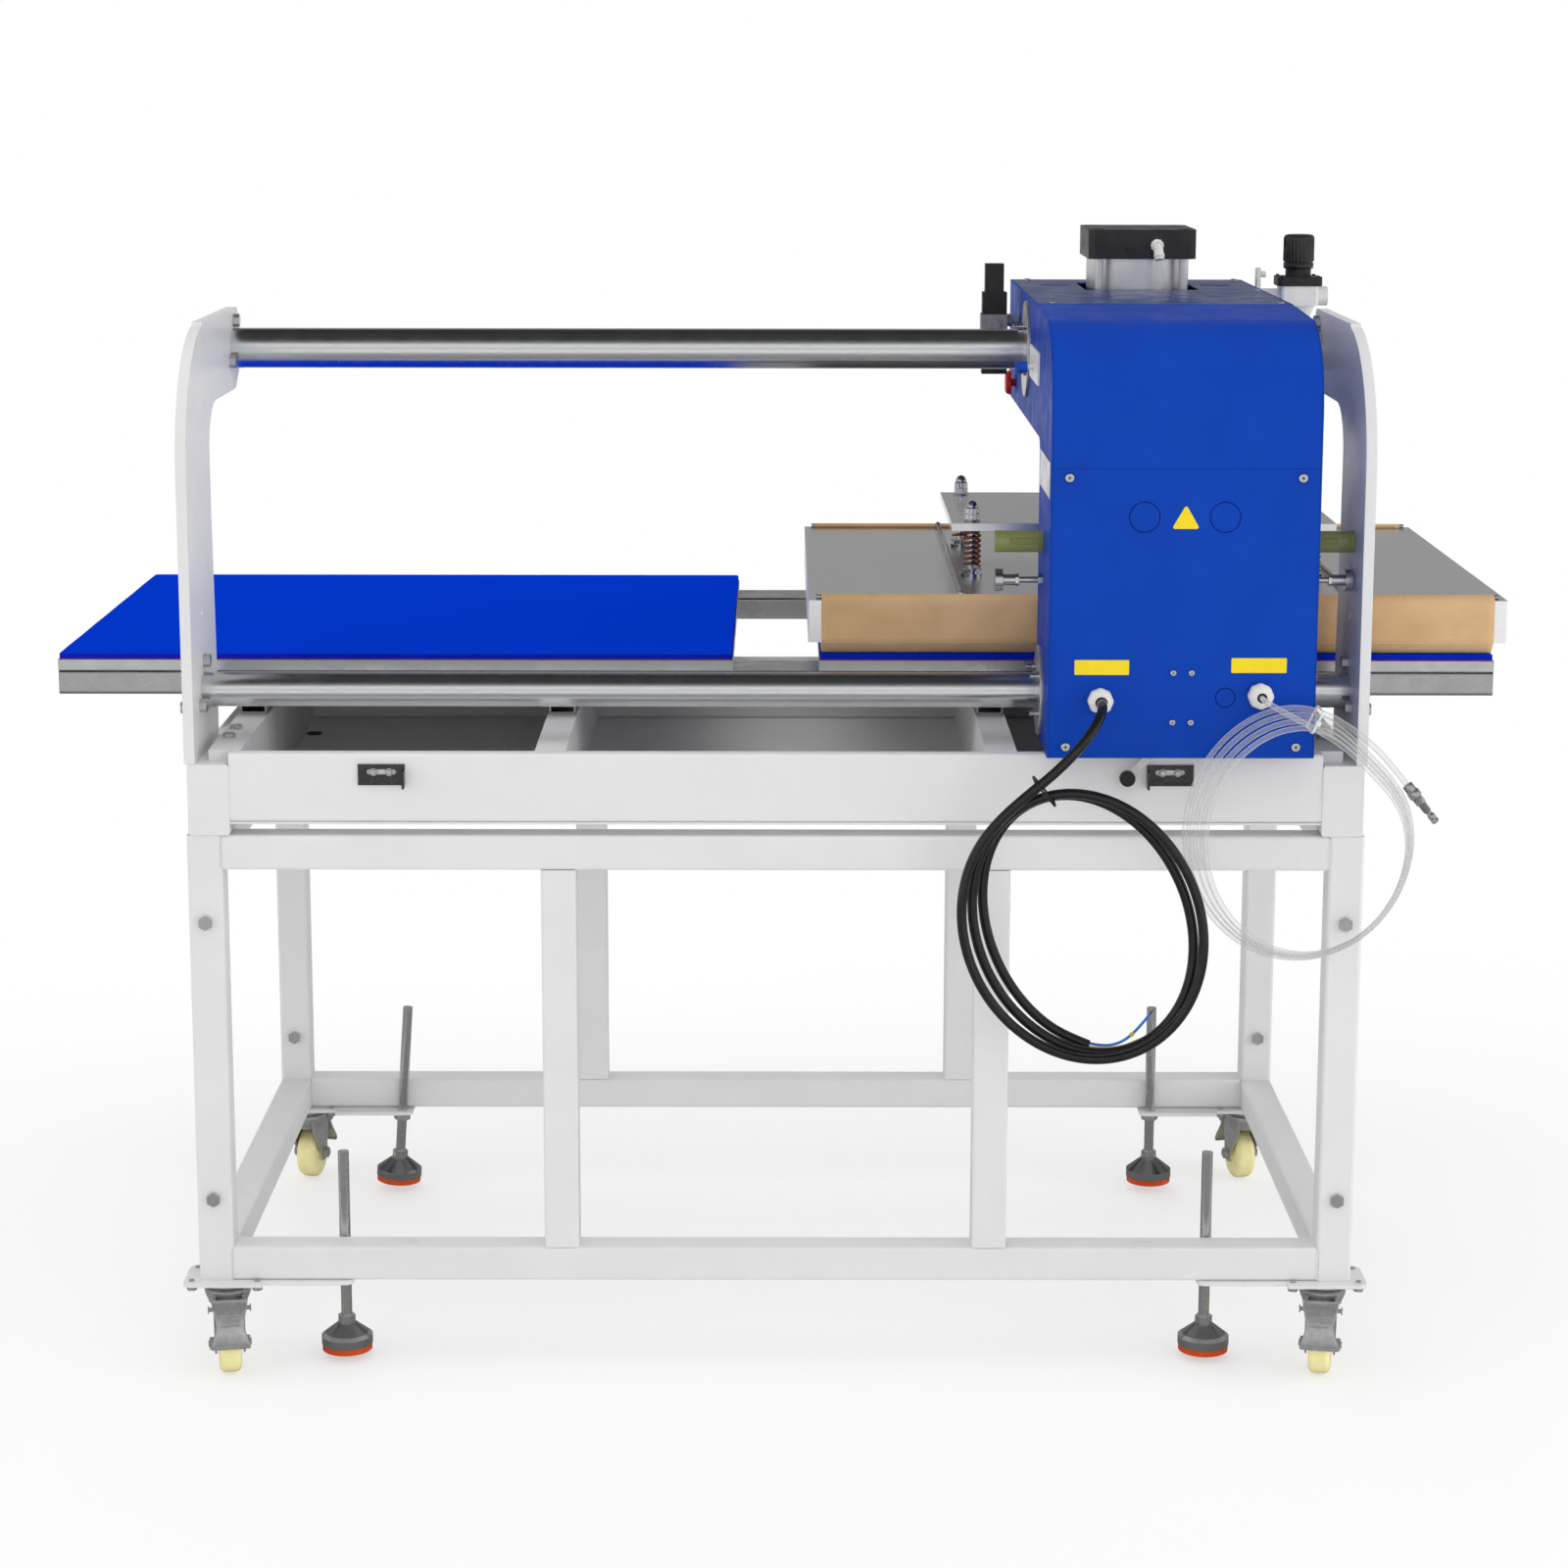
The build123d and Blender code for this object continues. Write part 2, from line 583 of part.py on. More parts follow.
def tray_frame():
    side_w = (SIDE_TUBE_IN + SIDE_TUBE_OUT) / 2
    pieces = [square_tube((s * side_w, 0, (CART_TOP + SIDE_TOP) / 2), FRONT, CART_DEPTH,
                          SIDE_TUBE_W, SIDE_TUBE_H, TUBE_WALL) for s in SIDES]
    middle = TRAY_BOTTOM + TRAY_H / 2
    for y in (TRAY_BEAM_W / 2, TRAY_FRONT - TRAY_BEAM_W / 2):
        pieces.append(square_tube((-SIDE_TUBE_IN, y, middle), EAST, 2 * SIDE_TUBE_IN,
                                  TRAY_BEAM_W, TRAY_H, TUBE_WALL))
    inner = (TRAY_BEAM_W, TRAY_FRONT - TRAY_BEAM_W)
    for s in SIDES:
        rim = block(TRAY_RIM_IN, SIDE_TUBE_IN, *inner, TRAY_BOTTOM, TRAY_TOP)
        rim += block(SIDE_TUBE_IN, TRAY_RIM_OUT, *inner, SIDE_TOP, TRAY_TOP)
        pieces.append(rim if s > 0 else mirrored(rim))
        lower, upper = CROSS_W / 2, CROSS_TOP_W / 2
        section = Polyline([(s * CROSS_X - lower, TRAY_BOTTOM), (s * CROSS_X + lower, TRAY_BOTTOM),
                            (s * CROSS_X + upper, TRAY_TOP), (s * CROSS_X - upper, TRAY_TOP)], close=True)
        start = Plane(origin=(0, inner[0], 0), x_dir=(1, 0, 0), z_dir=REAR)
        skin = make_face(section) - offset(make_face(section), -TUBE_WALL)
        pieces.append(extrude(start * skin, inner[0] - inner[1]))
    drain = (-740.0, 650.0, 22.0)
    sheet = block(-SIDE_TUBE_IN, SIDE_TUBE_IN, 0, TRAY_FRONT, TRAY_BOTTOM - TRAY_SHEET, TRAY_BOTTOM)
    sheet -= rod((drain[0], drain[1], TRAY_BOTTOM - TRAY_SHEET), UP, TRAY_SHEET, drain[2])
    return pieces + [sheet]


def upright_outline():
    """Column with a curved back and an arm forward at the top for the upper rail."""
    top = up(UPRIGHT_TOP)
    arc_z = top - UPRIGHT_ARC - 3
    end_y = UPRIGHT_ARC - 28
    end_z = arc_z + math.sqrt(UPRIGHT_ARC ** 2 - 28 ** 2)
    diagonal = UPRIGHT_ARC * math.sqrt(0.5)
    arm = top - UPRIGHT_HEAD
    back = Line((0, SIDE_TOP), (0, arc_z))
    curve = ThreePointArc((0, arc_z), (UPRIGHT_ARC - diagonal, arc_z + diagonal), (end_y, end_z))
    outline = FilletPolyline([(end_y, end_z), (end_y + 4, top), (UPRIGHT_REACH - 8, top),
                              (UPRIGHT_REACH, top - 30), (UPRIGHT_REACH - 4, top - 96),
                              (UPRIGHT_REACH - 42, arm), (UPRIGHT_COLUMN, arm),
                              (UPRIGHT_COLUMN + 2, up(330)), (UPRIGHT_FOOT, up(98)),
                              (UPRIGHT_FOOT, SIDE_TOP)],
                             radius=[2.0, 16.0, 20.0, 16.0, 24.0, UPRIGHT_THROAT - UPRIGHT_COLUMN,
                                     60.0, 40.0])
    base = Line((UPRIGHT_FOOT, SIDE_TOP), (0, SIDE_TOP))
    return Wire([back, curve, *outline.edges(), base])


def uprights():
    plate = side_profile(RAIL_HALF, CART_HALF, upright_outline())
    for y, z in ((UPPER_RAIL_Y, UPPER_RAIL_Z), (LOWER_RAIL_Y, LOWER_RAIL_Z)):
        for place in rail_screw_places(y, up(z)):
            plate -= rod((RAIL_HALF, *place), EAST, UPRIGHT_T, 10.0 + 2 * SCREW_FIT)
    return [plate, mirrored(plate)]


def rail_screw_places(y, z):
    return [(y + RAIL_SCREW_R * math.cos(math.radians(a)), z + RAIL_SCREW_R * math.sin(math.radians(a)))
            for a in (85, 205, 325)]


def guide_rails():
    rails = [rod((-RAIL_HALF, UPPER_RAIL_Y, up(UPPER_RAIL_Z)), EAST, 2 * RAIL_HALF, UPPER_RAIL_D),
             rod((-RAIL_HALF, LOWER_RAIL_Y, up(LOWER_RAIL_Z)), EAST, 2 * RAIL_HALF, LOWER_RAIL_D)]
    return rails


def striker(s):
    """Slotted bracket on the rear beam, with a tab towards the machine's middle."""
    x0 = s * STRIKER_X - STRIKER_L / 2
    z = SIDE_TOP + STRIKER_Z
    plate = block(x0, x0 + STRIKER_L, -STRIKER_T, 0, z - STRIKER_H / 2, z + STRIKER_H / 2)
    slot_l, slot_w = 42.0, 8.0
    slot = Plane(origin=(s * STRIKER_X, 0, z + 4), x_dir=(1, 0, 0), z_dir=REAR) * SlotOverall(slot_l, slot_w)
    plate -= extrude(slot, STRIKER_T)
    inner = x0 if s > 0 else x0 + STRIKER_L - STRIKER_T
    return plate + block(inner, inner + STRIKER_T, -STRIKER_TAB, -STRIKER_T,
                         z - STRIKER_H / 2 - 3, z + STRIKER_H / 2 - 8)


def frame_bolts():
    """Leg bolts, rail screws, upright bolts, striker screws and the feet's lock nuts."""
    leg_head, leg_head_h, leg_x, set_in = 18.0, 7.0, CART_HALF - 24.0, 0.0
    bolts = []
    for s in SIDES:
        for z in (CART_TOP - 127.0, CART_BOTTOM + 123.0):
            for y in (set_in, CART_DEPTH - TUBE):
                bolts.append(hex_bar((s * leg_x, y, z), REAR, leg_head_h, leg_head))
        bolts.append(hex_bar((s * (CART_HALF - 45.5), 183.0, TRAY_TOP), UP, 6.0, 16.0))
        bolts.append(hex_bar((s * (CART_HALF - 45.5), 120.0, TRAY_TOP), UP, 6.0, 16.0))
        for y, z in ((UPPER_RAIL_Y, UPPER_RAIL_Z), (LOWER_RAIL_Y, LOWER_RAIL_Z)):
            for place in rail_screw_places(y, up(z)):
                start = (s * RAIL_HALF, *place)
                inward = WEST if s > 0 else EAST
                bolts.append(hex_bolt(start, inward, RAIL_SCREW, 10.0, UPRIGHT_T, RAIL_SCREW_H))
        outer = (s * CART_HALF, 30.0, up(76.0))
        bolts.append(hex_bar(outer, EAST if s > 0 else WEST, 7.0, 15.0))
        z = SIDE_TOP + STRIKER_Z + 4
        for x in (-11.0, 11.0):
            washer = rod((s * STRIKER_X + x, -STRIKER_T, z), REAR, 1.0, 11.0)
            bolts.append(washer + pan_screw((s * STRIKER_X + x, -STRIKER_T - 1.0, z), REAR, 8.5, 3.0))
    return bolts + [lock_nut(name) for name in CORNERS if "front" in name]


# Beds

def beds():
    pieces = []
    for y in (BED_REAR - 3, BED_FRONT - BED_BAR_W):
        bar = square_tube((-BED_BAR_HALF, y + BED_BAR_W / 2, BAR_BOTTOM + BED_BAR_H / 2), EAST,
                          2 * BED_BAR_HALF, BED_BAR_W, BED_BAR_H, TUBE_WALL)
        pieces.append(bar)
    for x in (CROSS_X, (TRAY_RIM_IN + TRAY_RIM_OUT) / 2):
        for s in SIDES:
            pieces.append(square_tube((s * x, BED_REAR + 30, TRAY_TOP + CARRIER_H / 2), FRONT,
                                      BED_DEPTH - 60, CARRIER_W, CARRIER_H, TUBE_WALL))
    for s in SIDES:
        x = s * STATION_X
        half = BED_PLATE_W / 2
        pieces.append(block(x - half, x + half, BED_REAR, BED_FRONT, BED_BOTTOM, BED_TOP))
    return pieces


def silicone_pads():
    half, corner = BED_WIDTH / 2, 4.0
    pad = block(STATION_X - half, STATION_X + half, BED_REAR, BED_FRONT, BED_TOP, PAD_TOP)
    pad = fillet(pad.edges().filter_by(Axis.Z), corner)
    return [pad, mirrored(pad)]


# Head

def head_outline(inset):
    """Outline of the head's side, drawn inside the real one by the inset."""
    y0, z0, z1 = HEAD_REAR + inset, HEAD_BOTTOM, HEAD_TOP - inset
    radius = HEAD_ARC - inset
    arc_z = HEAD_TOP - HEAD_SLOPE - HEAD_ARC
    diagonal = radius * math.sqrt(0.5)
    centre_y = HEAD_REAR + HEAD_ARC
    bottom, front = ARM_BOTTOM + inset, COLUMN_FRONT - inset
    rounding = COLUMN_FILLET + inset
    return Wire([
        Line((y0, z0), (y0, arc_z)),
        ThreePointArc((y0, arc_z), (centre_y - diagonal, arc_z + diagonal), (centre_y, arc_z + radius)),
        Line((centre_y, arc_z + radius), (HEAD_CREASE_Y, z1)),
        Line((HEAD_CREASE_Y, z1), (HEAD_FRONT - inset, z1)),
        Line((HEAD_FRONT - inset, z1), (HEAD_FRONT - inset, bottom)),
        Line((HEAD_FRONT - inset, bottom), (front + rounding, bottom)),
        ThreePointArc((front + rounding, bottom), (front + rounding * (1 - math.sqrt(0.5)),
                      bottom - rounding * (1 - math.sqrt(0.5))), (front, bottom - rounding)),
        Line((front, bottom - rounding), (front, z0)),
        Line((front, z0), (y0, z0)),
    ])


def bearings():
    """Rail places that the head runs on: Y, Z, rail diameter and flange diameter."""
    return [(UPPER_RAIL_Y, up(UPPER_RAIL_Z), UPPER_RAIL_D, UPPER_FLANGE_D),
            (LOWER_RAIL_Y, up(LOWER_RAIL_Z), LOWER_RAIL_D, LOWER_FLANGE_D)]


def head_sides():
    plates = []
    for x in (HEAD_LEFT, HEAD_RIGHT - SIDE_T):
        plate = side_profile(x, x + SIDE_T, head_outline(0))
        for y, z, rail, flange in bearings():
            plate -= rod((x, y, z), EAST, SIDE_T, rail + 2 * BUSH_WALL + 2 * SCREW_FIT)
        for y, z, diameter in side_holes(x):
            plate -= rod((x, y, z), EAST, SIDE_T, diameter)
        plates.append(plate)
    return plates


def side_holes(x):
    """Holes in the left plate for the stop button's stem and the side knob's shaft."""
    if x > HEAD_X:
        return []
    return [(STOP_BUTTON_Y, up(STOP_BUTTON_Z), BUTTON_STEM_D + 2 * RUNNING),
            (SIDE_KNOB_Y, up(SIDE_KNOB_Z), SIDE_KNOB_STEM_D + 2 * RUNNING)]


def head_shell():
    """The sheet that follows the head's outline between the two side plates."""
    x0, x1 = HEAD_LEFT + SIDE_T, HEAD_RIGHT - SIDE_T
    shell = side_profile(x0, x1, head_outline(0)) - side_profile(x0, x1, head_outline(SHEET_T))
    return shell


def head_cover(shell):
    """Curved rear cover and the top plate, which the cylinder comes up through."""
    far = 2000.0
    over = shell & block(-far, far, HEAD_REAR, HEAD_CREASE_Y, SEAM_Z + EASE, HEAD_TOP)
    top = shell & block(-far, far, HEAD_CREASE_Y + EASE, HEAD_FRONT, HEAD_TOP - SHEET_T, HEAD_TOP)
    half = COVER_OPENING / 2
    top -= block(HEAD_X - half, HEAD_X + half, CYLINDER_Y - half, CYLINDER_Y + half,
                 HEAD_TOP - 9, HEAD_TOP + 9)
    for s in SIDES:
        centre = (HEAD_X + s * 126.0, CYLINDER_Y + 25.0, HEAD_TOP - 5)
        slot = Plane(origin=centre, x_dir=(1, 0, 0), z_dir=UP) * SlotOverall(50.0, 16.0)
        top -= extrude(slot, 10)
    return [over.solids().sort_by(Axis.Z)[-1], *top.solids()]


def head_panels(shell):
    """Rear panel, underside of the arm with the front, and the column's front with its floor."""
    far = 2000.0
    rear = shell & block(-far, far, HEAD_REAR - 1, HEAD_REAR + SHEET_T, HEAD_BOTTOM, SEAM_Z)
    for x, z in (MAINS_GLAND, HOSE_GLAND):
        rear -= rod((HEAD_X + x, HEAD_REAR - 5, HEAD_BOTTOM + z), FRONT, 10, GLAND_THREAD + 2 * SCREW_FIT)
    front = shell & block(-far, far, 0, HEAD_FRONT + 1, HEAD_BOTTOM + SHEET_T, HEAD_TOP - SHEET_T)
    front -= rod((HEAD_X, CYLINDER_Y, ARM_BOTTOM - 5), UP, 20, PISTON_ROD_D + 24)
    front -= block(-far, far, 0, HEAD_CREASE_Y, ARM_BOTTOM + 30, HEAD_TOP)
    front -= rod((HEAD_X + START_BUTTON_X, HEAD_FRONT - 9, PANEL_Z), FRONT, 18, BUTTON_STEM_D + 2 * RUNNING)
    floor = block(HEAD_LEFT + SIDE_T, HEAD_RIGHT - SIDE_T, SWITCH_Y0 + 30, COLUMN_FRONT,
                  HEAD_BOTTOM, HEAD_BOTTOM + SHEET_T)
    return [*rear.solids(), *front.solids(), floor]


def bearing_caps():
    """Flanged bushes: a round flange outside each side plate and a barrel through it."""
    caps = []
    for y, z, rail, flange in bearings():
        bore = rail + 2 * RUNNING
        for x, inward in ((HEAD_LEFT, EAST), (HEAD_RIGHT, WEST)):
            outward = WEST if inward == EAST else EAST
            cap = rod((x, y, z), outward, FLANGE_T, flange)
            cap = fillet(cap.faces().sort_by(Axis((x, y, z), outward))[-1].edges(), 1.5)
            cap += rod((x, y, z), inward, BUSH_L, rail + 2 * BUSH_WALL)
            start = (x + outward[0] * FLANGE_T * 2, y, z)
            cap -= rod(start, inward, BUSH_L + FLANGE_T * 4, bore)
            caps.append(cap)
    return caps


def flange_screws():
    """Socket screws of the bearing flanges, standing out of them."""
    screws = []
    for y, z, rail, flange in bearings():
        radius = rail / 2 + BUSH_WALL + 8
        for x, outward in ((HEAD_LEFT - FLANGE_T, WEST), (HEAD_RIGHT + FLANGE_T, EAST)):
            for a in (35, 145, 215, 325):
                place = (x, y + radius * math.cos(math.radians(a)), z + radius * math.sin(math.radians(a)))
                screw = rod(place, outward, 4.0, 13.0) + rod(place, outward, FLANGE_SCREW_OUT, FLANGE_SCREW)
                screws.append(screw)
    return screws


def head_screws():
    """Panel screws on the rear and on the top, and the flange screws."""
    screws = []
    for x in (25.5 - HEAD_WIDTH / 2, HEAD_WIDTH / 2 - 26.0):
        for z in (SEAM_Z - 12.5, HEAD_BOTTOM + 16.0):
            screws.append(pan_screw((HEAD_X + x, HEAD_REAR, z), REAR, 13.0, 3.5))
    for x in (-12.5, 13.0):
        for z in (HEAD_BOTTOM + 51.0, HEAD_BOTTOM + 121.0):
            screws.append(pan_screw((HEAD_X + x, HEAD_REAR, z), REAR, 9.0, 3.0))
    for x in (24.5 - HEAD_WIDTH / 2, HEAD_WIDTH / 2 - 16.5):
        for y in (HEAD_CREASE_Y + 6, HEAD_FRONT - 39):
            screws.append(pan_screw((HEAD_X + x, y, HEAD_TOP), UP, 11.0, 3.5))
    return screws + flange_screws()


def buffers():
    """Clear plastic buffers on both side plates, each round a steel core."""
    pieces = []
    for x, outward in ((HEAD_LEFT, WEST), (HEAD_RIGHT, EAST)):
        start = (x, STOP_Y, up(BUFFER_Z))
        body = rod(start, outward, BUFFER_L, BUFFER_D)
        core_l = BUFFER_L - 22
        body -= rod(start, outward, core_l, BUFFER_CORE_D)
        pieces += [body, rod(start, outward, core_l, BUFFER_CORE_D)]
    return pieces


def travel_stops():
    """Threaded stops with a disc end, a sleeve and lock nuts."""
    pieces = []
    for x, outward in ((HEAD_LEFT, WEST), (HEAD_RIGHT, EAST)):
        start = (x, STOP_Y, up(TRAVEL_STOP_Z))
        ends = [x + outward[0] * d for d in (BUFFER_L - 1 - STOP_DISC_T, BUFFER_L - 1 - STOP_DISC_T - 18)]
        stop = rod(start, outward, BUFFER_L - 1 - STOP_DISC_T, STOP_ROD_D)
        stop += rod((ends[0], *start[1:]), outward, STOP_DISC_T, STOP_DISC_D)
        stop += rod((ends[1], *start[1:]), outward, 18, 16.0)
        stop += hex_bar((ends[1] - outward[0] * 5, *start[1:]), outward, 5, 15.0)
        stop += hex_bar(start, outward, 6, 15.0)
        pieces.append(stop)
    return pieces


# Controls

def stop_button():
    """Mushroom button on the left side plate, its stem through the plate."""
    x = HEAD_LEFT - STOP_BUTTON_OUT
    start = (x, STOP_BUTTON_Y, up(STOP_BUTTON_Z))
    rounding, stem_in = 7.0, 16.0
    head = rod(start, EAST, STOP_BUTTON_OUT - STOP_TRAVEL - 3, STOP_BUTTON_D)
    head = fillet(head.faces().sort_by(Axis.X)[0].edges(), rounding)
    return head + rod(start, EAST, STOP_BUTTON_OUT + stem_in, BUTTON_STEM_D)


def side_knob():
    """Small knob with a flat grip on a stem through the left side plate."""
    out, knob_h, grip_h, grip_t, stem_l = 24.0, 12.0, 6.0, 6.0, 40.0
    x, y, z = start = (HEAD_LEFT - out, SIDE_KNOB_Y, up(SIDE_KNOB_Z))
    radius = SIDE_KNOB_D / 2
    knob = rod(start, EAST, knob_h, SIDE_KNOB_D)
    knob += block(x - grip_h, x, y - grip_t / 2, y + grip_t / 2, z - radius, z + radius)
    return knob + rod(start, EAST, stem_l, SIDE_KNOB_STEM_D)


def control_panel():
    """Display box with its keys on the head's front, and two blank plates on the left side."""
    x, far = HEAD_X + PANEL_X, HEAD_FRONT + PANEL_T
    window_w, window_h, window_low, window_deep = 130.0, 44.0, 2.0, 3.0
    key_d, key_out, key_drop = 18.0, 2.5, 30.0
    box = block(x - PANEL_W / 2, x + PANEL_W / 2, HEAD_FRONT, far,
                PANEL_Z - PANEL_H / 2, PANEL_Z + PANEL_H / 2)
    box = fillet(box.edges().filter_by(Axis.Y), 10.0)
    box -= block(x - window_w / 2, x + window_w / 2, far - window_deep, far,
                 PANEL_Z + window_low, PANEL_Z + window_low + window_h)
    first = x - (PANEL_KEYS - 1) / 2 * PANEL_KEY_PITCH
    keys = [rod((first + k * PANEL_KEY_PITCH, far, PANEL_Z - key_drop), FRONT, key_out, key_d)
            for k in range(PANEL_KEYS)]
    return [box, *keys, rating_plate(), *label_plate()]


def rating_plate():
    """Thin blank plate low on the left side's rear."""
    y0, y1, drop0, drop1, thick = -38.0, 140.0, 248.0, 197.0, 1.0
    return block(HEAD_LEFT - thick, HEAD_LEFT, y0, y1, HEAD_TOP - drop0, HEAD_TOP - drop1)


def label_plate():
    """Blank plate round the side knob's stem, cut round beside the upper bearing flange."""
    y0, y1, below, above, thick, air = 186.0, 353.0, 20.0, 27.0, 3.0, 1.0
    z = up(SIDE_KNOB_Z)
    plate = block(HEAD_LEFT - thick, HEAD_LEFT, y0, y1, z - below, z + above)
    plate -= rod((HEAD_LEFT - thick, SIDE_KNOB_Y, z), EAST, thick, SIDE_KNOB_STEM_D + 2 * RUNNING)
    plate -= rod((HEAD_LEFT - thick, UPPER_RAIL_Y, up(UPPER_RAIL_Z)), EAST, thick, UPPER_FLANGE_D + 2 * air)
    return plate.solids()


def start_button():
    out, rounding, stem_in = 18.0, 5.0, 16.0
    start = (HEAD_X + START_BUTTON_X, HEAD_FRONT + out, PANEL_Z)
    head = rod(start, REAR, out - START_TRAVEL - 3, START_BUTTON_D)
    head = fillet(head.faces().sort_by(Axis.Y)[-1].edges(), rounding)
    return head + rod(start, REAR, out + stem_in, BUTTON_STEM_D)


def limit_switch():
    """Switch body in the column's open floor, with its lever shaft."""
    w, d, h = SWITCH_BODY
    x = HEAD_X + SWITCH_X
    body = block(x - 8, x + w - 8, HEAD_REAR + SHEET_T, SWITCH_Y0 + 4 + d, HEAD_BOTTOM + 2, HEAD_BOTTOM + h)
    return body + rod((x, SWITCH_Y0 + d + 4, SWITCH_PIVOT_Z), FRONT, 8.0, 6.0)


def switch_lever():
    """Lever arm from the shaft to its roller."""
    x, z = HEAD_X + SWITCH_X, SWITCH_PIVOT_Z
    y = SWITCH_Y0 + SWITCH_BODY[1] + 4 + EASE
    dx, dz = SWITCH_LEVER
    length = math.hypot(dx, dz)
    arm = Plane(origin=(x, y, z), x_dir=(dx, 0, dz), z_dir=FRONT) * extrude(
        Pos(length / 2, 0) * SlotCenterToCenter(length, 12.0), 3.0)
    arm -= rod((x, y, z), FRONT, 3.0, 6.0 + 2 * RUNNING)
    return arm + rod((x + dx, y + 3.0, z + dz), REAR, ROLLER_T, ROLLER_D)


# Fittings

def gland(x, z):
    """White cable gland: hex, dome and thread through the panel."""
    start = (HEAD_X + x, HEAD_REAR, HEAD_BOTTOM + z)
    body = hex_bar(start, REAR, 8.0, GLAND_AF)
    body += rod((start[0], HEAD_REAR - 8.0, start[2]), REAR, GLAND_OUT - 8.0, GLAND_AF - 3)
    body = fillet(body.faces().sort_by(Axis.Y)[0].edges(), 4.0)
    return body + rod(start, FRONT, 12.0, GLAND_THREAD)


def fittings():
    """Cable glands, the cap's elbow with its tube, and the cap's plug."""
    pieces = [gland(*MAINS_GLAND), gland(*HOSE_GLAND)]
    y = CYLINDER_Y - CYLINDER_CAP / 2
    z = CAP_Z + 21.0
    x = HEAD_X + 22.0
    elbow = hex_bar((x, y, z), REAR, 6.0, 18.0) + rod((x, y, z), REAR, 20.0, 14.0)
    drop = rod((x, y - 14.0, z), (0.1, -0.35, -1), 22.0, 15.0)
    pieces.append(elbow + drop)
    tube = Plane(origin=(x + 2.2, y - 22.0, z - 20.0), z_dir=(0, 0, -1))
    pieces.append(tube * Cylinder(3.5, z - 20.0 - HEAD_TOP, align=(Align.CENTER, Align.CENTER, Align.MIN)))
    pieces.append(hex_bar((HEAD_X - 18.0, y, CAP_Z + 14.0), REAR, 4.0, 12.0))
    return pieces


# Cylinder and press

def cylinder_barrel():
    """Barrel, lower flange, tie rods and the plate that carries them inside the arm."""
    x, y, half = HEAD_X, CYLINDER_Y, CYLINDER_CAP / 2
    base = CYLINDER_BASE
    bore = PISTON_ROD_D + 2 * RUNNING
    plate = block(HEAD_LEFT + SIDE_T, HEAD_RIGHT - SIDE_T, y - 110, y + 110, base - CYLINDER_PLATE_T, base)
    plate -= rod((x, y, base - CYLINDER_PLATE_T), UP, CYLINDER_PLATE_T, PISTON_ROD_D + 4)
    flange = block(x - half, x + half, y - half, y + half, base, base + CYLINDER_FLANGE_H)
    flange -= rod((x, y, base), UP, CYLINDER_FLANGE_H, bore)
    low = base + CYLINDER_FLANGE_H
    barrel = ring((x, y, low), UP, CAP_Z - low, CYLINDER_D, CYLINDER_BORE)
    rods = [rod((x + a * TIE_ROD_AT, y + b * TIE_ROD_AT, low), UP, CAP_Z - low, TIE_ROD_D)
            for a in SIDES for b in SIDES]
    return [plate, flange, barrel, *rods]


def cylinder_cap():
    x, y, half = HEAD_X, CYLINDER_Y, CYLINDER_CAP / 2
    cap = block(x - half, x + half, y - half, y + half, CAP_Z, CAP_Z + CYLINDER_CAP_H)
    cap = fillet(cap.edges().filter_by(Axis.Z), 11.0)
    for a in SIDES:
        for b in SIDES:
            place = (x + a * TIE_ROD_AT, y + b * TIE_ROD_AT, CAP_Z + CYLINDER_CAP_H)
            cap -= rod(place, DOWN, 8.0, 20.0)
    return cap


def piston_rod():
    """Rod through the flange, piston in the barrel and the flange on the press plate."""
    x, y = HEAD_X, CYLINDER_Y
    piston_z = CYLINDER_BASE + CYLINDER_FLANGE_H + 4.0
    piece = rod((x, y, PRESS_TOP), UP, piston_z - PRESS_TOP, PISTON_ROD_D)
    piece += rod((x, y, PRESS_TOP), UP, ROD_FLANGE_T, ROD_FLANGE_D)
    return piece + rod((x, y, piston_z), UP, PISTON_T, CYLINDER_BORE - 2 * RUNNING)


def press_bolt_places():
    return [(HEAD_X + a * PRESS_BOLT_X, PRESS_Y + b * PRESS_BOLT_Y) for a in SIDES for b in SIDES]


def press_plate():
    half_w, half_d = PRESS_WIDTH / 2, PRESS_DEPTH / 2
    plate = block(HEAD_X - half_w, HEAD_X + half_w, PRESS_Y - half_d, PRESS_Y + half_d,
                  PRESS_BOTTOM, PRESS_TOP)
    for x, y in press_bolt_places():
        plate -= rod((x, y, PRESS_BOTTOM), UP, PRESS_T, PRESS_BOLT_D + 2 * SCREW_FIT)
    return plate


def press_hardware():
    """Spring bolts with nut and dome above the plate and a cup on the platen."""
    pieces = []
    for x, y in press_bolt_places():
        bolt = rod((x, y, PLATEN_TOP), UP, PRESS_TOP - PLATEN_TOP + 2, PRESS_BOLT_D)
        bolt += rod((x, y, PLATEN_TOP), UP, CUP_FOOT_T, CUP_D)
        bolt += rod((x, y, PLATEN_TOP), UP, CUP_H, CUP_NECK_D)
        bolt += rod((x, y, CUP_TOP - COLLAR_T), UP, COLLAR_T, COLLAR_D)
        bolt += hex_bar((x, y, PRESS_TOP), UP, 10.0, 19.0)
        bolt += hex_bar((x, y, PRESS_TOP + 10.4), UP, 9.0, 19.0)
        bolt += rod((x, y, PRESS_TOP), UP, PRESS_BOLT_OUT - 6, 13.0)
        dome = Pos(x, y, PRESS_TOP + 20.0) * Sphere(8.5)
        bolt += dome & block(x - 9, x + 9, y - 9, y + 9, PRESS_TOP + 18, PRESS_TOP + PRESS_BOLT_OUT)
        pieces.append(bolt)
    return pieces


